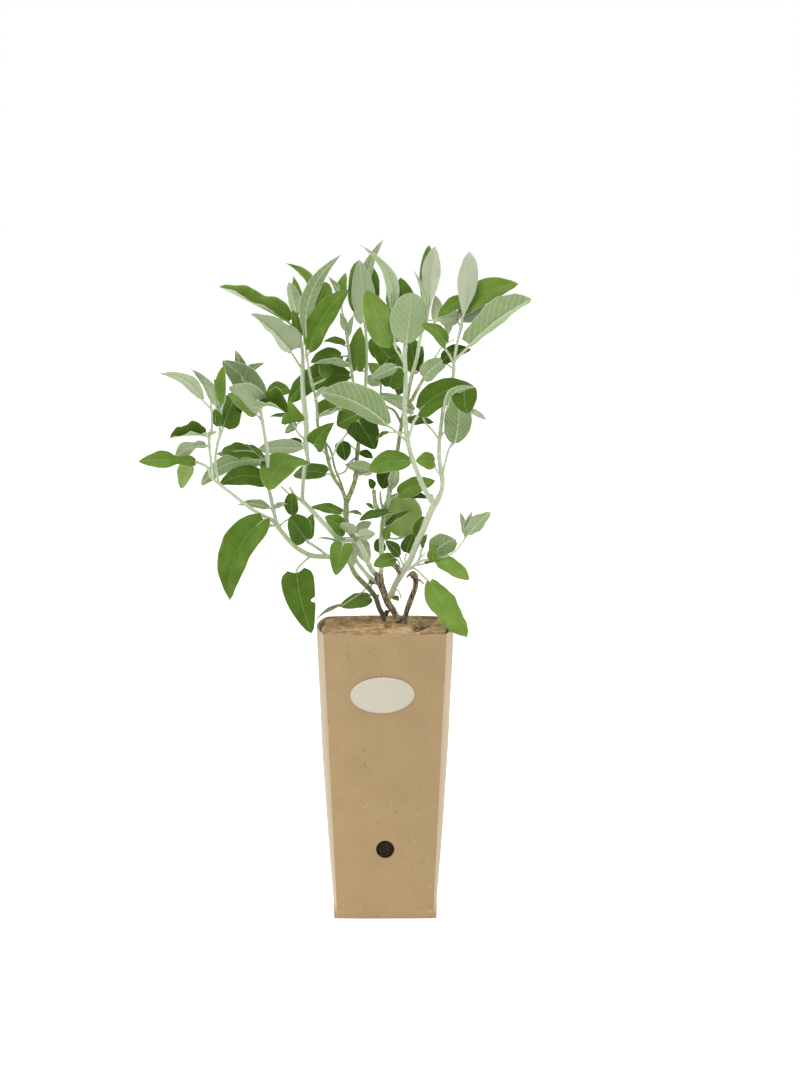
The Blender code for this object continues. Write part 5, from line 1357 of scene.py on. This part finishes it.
RIGHT_LEAVES = [
    Leaf((13, 288), (8, 303, -7), (-10, 296, -13), 14, 65, "broad", 0.45, via=((12, 299, -6),)),
    Leaf((17, 294), (12.5, 305, -7), (0, 318, -12), 12, 60, "small", 0.15, via=((14, 300, -5),)),
    Leaf((18, 296), (18.5, 308, 3), (24, 324, 9), 14, 70, "broad", 0.15, via=((17, 302, 2),)),
    Leaf((6, 273), (7, 270, 6), (12, 266, 2), 6, 60, "small", 0.3),
    Leaf((29, 319), (28, 321, 1), (33, 339, 8), 12, 70, "broad", 0.3),
    Leaf((23.5, 387), (21, 386, -13), (-14, 378, -18), 21, 55, "long", 0.5, arch=0.16),
    Leaf(
        (20, 401), (2.5, 416.5, -19), (-53.5, 444, -28), 32, -50, "round", 0.12,
        via=((16, 405, -12), (7, 413, -17)), sway=0.06, fold=0.54, veins=6.5,
    ),
    Leaf((12, 409), (3, 411, -21), (-7, 404.5, -25), 10, 22, "small", 0.3),
    Leaf(
        (17.5, 484), (18, 486, -10), (22, 528, -18), 32, -78, "round", 0.4, sway=-0.03, wave=0.12,
        veins=6,
    ),
    Leaf((9, 483), (7, 486.5, -5), (-16, 531, -9), 27, 72, "broad", 0.7, sway=-0.06, wave=0.14),
    Leaf((6.5, 508), (8, 511, -8), (10, 541, -11), 7, -50, "lance", 0.8),
    Leaf((6.5, 508), (6, 513, -3), (6, 545, 2), 10, 45, "lance", 0.4),
    Leaf((17.5, 484), (18, 500, -2), (13, 541, 4), 22, 70, "broad", 0.4, via=((18, 492, -5),)),
    Leaf((6.5, 506), (6, 511, -7), (-20.5, 568, -9), 15, -45, "lance", 0.4, sway=0.17),
    Leaf((17.5, 462), (10, 466, -10), (-12, 455, -14), 13, -60, "small", 0.3, via=((14, 465, -8),)),
    Leaf((17.5, 456), (4, 449, -5), (12, 477, -2), 22, 78, "broad", 0.3, via=((11, 451, -7),), wave=0.14),
    Leaf((17.4, 455), (15, 454, -4), (11, 441.5, -1), 10, 75, "small", 0.2),
    Leaf((17.4, 418), (20, 419.5, -4), (42, 418.5, 2), 15, 30, "broad", 0.15),
    Leaf((50, 482), (51.5, 485, -10), (31, 501, -15), 18, 50, "blunt", 0.55, arch=0.17),
    Leaf((65, 508), (66.3, 510, -10), (71.3, 562.7, -16), 17.5, -75, "spindle", 0.8, sway=-0.04, veins=2.2),
    Leaf((65, 507), (68.5, 512, 0), (75.8, 557, 6), 15, 65, "long", 0.4),
    Leaf((65, 507), (62, 515, 4), (112.7, 535.5, -2), 24, 62, "broad", 0.55, sway=0.06),
    Leaf((65, 507), (66, 504, 6), (93, 518, 2), 12, -62, "lance", 0.8),
    Leaf((71, 483), (71, 484.5, -9), (123.5, 523, -17), 32, -47, "spoon", 0.25, fold=0.62, veins=6.6),
    Leaf((65, 508), (66, 523, 0), (44.8, 507.5, -5), 15, 55, "broad", 0.35, via=((66, 514, -2),)),
    Leaf((65, 507), (63, 508, 2), (46, 505, -2), 17, -65, "round", 0.45),
    Leaf((64.5, 499), (55, 512, 5), (53.5, 492, 1), 9, -70, "small", 0.8, via=((60, 506, 3),)),
    Leaf((58.2, 464), (49, 471, 1), (73, 480.5, 4), 15, 60, "broad", 0.15, sway=0.1, via=((54, 467, -2),)),
    Leaf((29, 426), (29.5, 429, -17), (75, 450, -27), 26, 62, "broad", 0.32, sway=0.08),
    Leaf((66, 447.5), (68, 449, -34), (70.5, 426, -39), 22, 80, "broad", 0.35, sway=-0.1),
    Leaf((50, 431), (53, 432, -36), (78.5, 448, -42), 9, -55, "lance", 0.2, sway=0.24),
    Leaf((57, 400), (59, 401.5, -19), (62, 438.8, -17), 24, -80, "round", 0.1, sway=-0.06),
    Leaf((66, 447.5), (71, 429, -33), (86.5, 420.3, -38), 9.6, -30, "lance", 0.5, via=((69, 439, -31),)),
    Leaf(
        (48.5, 371), (42, 385, -20), (26, 386, -22), 18, 58, "broad", 0.55,
        via=((46, 375, -17), (43, 380, -19)),
    ),
]
leafy_stem("right_stem", RIGHT_STEMS, RIGHT_LEAVES, -45, ((262, 0.75), (300, 0.9)), 16)


# Low right shoot: a thin shoot from the right stem's first pair of buds, with the leaf that hangs
# over the right rim.
LOW_RIGHT_STEMS = [
    Stem([(16.5, 293, 0), (20.5, 293.5, -4), (25, 297, -7), (29, 302, -9), (31, 310, -10)], 1.3, 1.0),
    Stem([(25, 296.5, -7), (31, 300.5, -10), (36, 301.5, -12), (43, 302.5, -14)], 1.1, 0.9),
    Stem([(42, 302.5, -14), (54, 305, -16), (62, 311, -18), (69, 321, -20)], 0.8, 0.6),
    Stem([(28, 301, -8), (34, 307, -11)], 0.7, 0.6),
]
LOW_RIGHT_LEAVES = [
    Leaf((31, 310), (31.5, 311.5, -11), (36.5, 324, -14), 7, 38, "small", 0.25),
    Leaf((39, 302), (40.5, 305, -14), (60, 319, -20), 23, -64, "round", 0.0, sway=0.08),
    Leaf((39, 302), (41, 299.5, -16), (42, 314, -20), 11, 70, "small", 0.6),
    Leaf((43, 302.5), (44, 302, -16), (72, 284, -22), 17, 55, "long", 0.68),
    Leaf((24, 296), (33, 298.5, -6), (43, 299.5, -8), 7, 25, "small", 0.3),
    Leaf(
        (22, 295), (38.5, 282.5, -14), (70.5, 234.5, -40), 24, 60, "long", 0.58, sway=-0.08,
        wave=0.2, via=((27, 293, -8), (33, 287, -11)),
    ),
    Leaf((69, 321), (69, 322, -20), (74.5, 343.5, -22), 8, -50, "small", 0.5),
    Leaf((69, 320), (68, 323, -18), (63.5, 342.5, -14), 8, -45, "small", 0.1),
    Leaf((69, 321), (71, 324, -21), (90, 342.5, -26), 14, -55, "broad", 0.3, wave=0.25),
]
leafy_stem("low_right_shoot", LOW_RIGHT_STEMS, LOW_RIGHT_LEAVES, 0, ((290, 0.8), (300, 0.95)), 17)
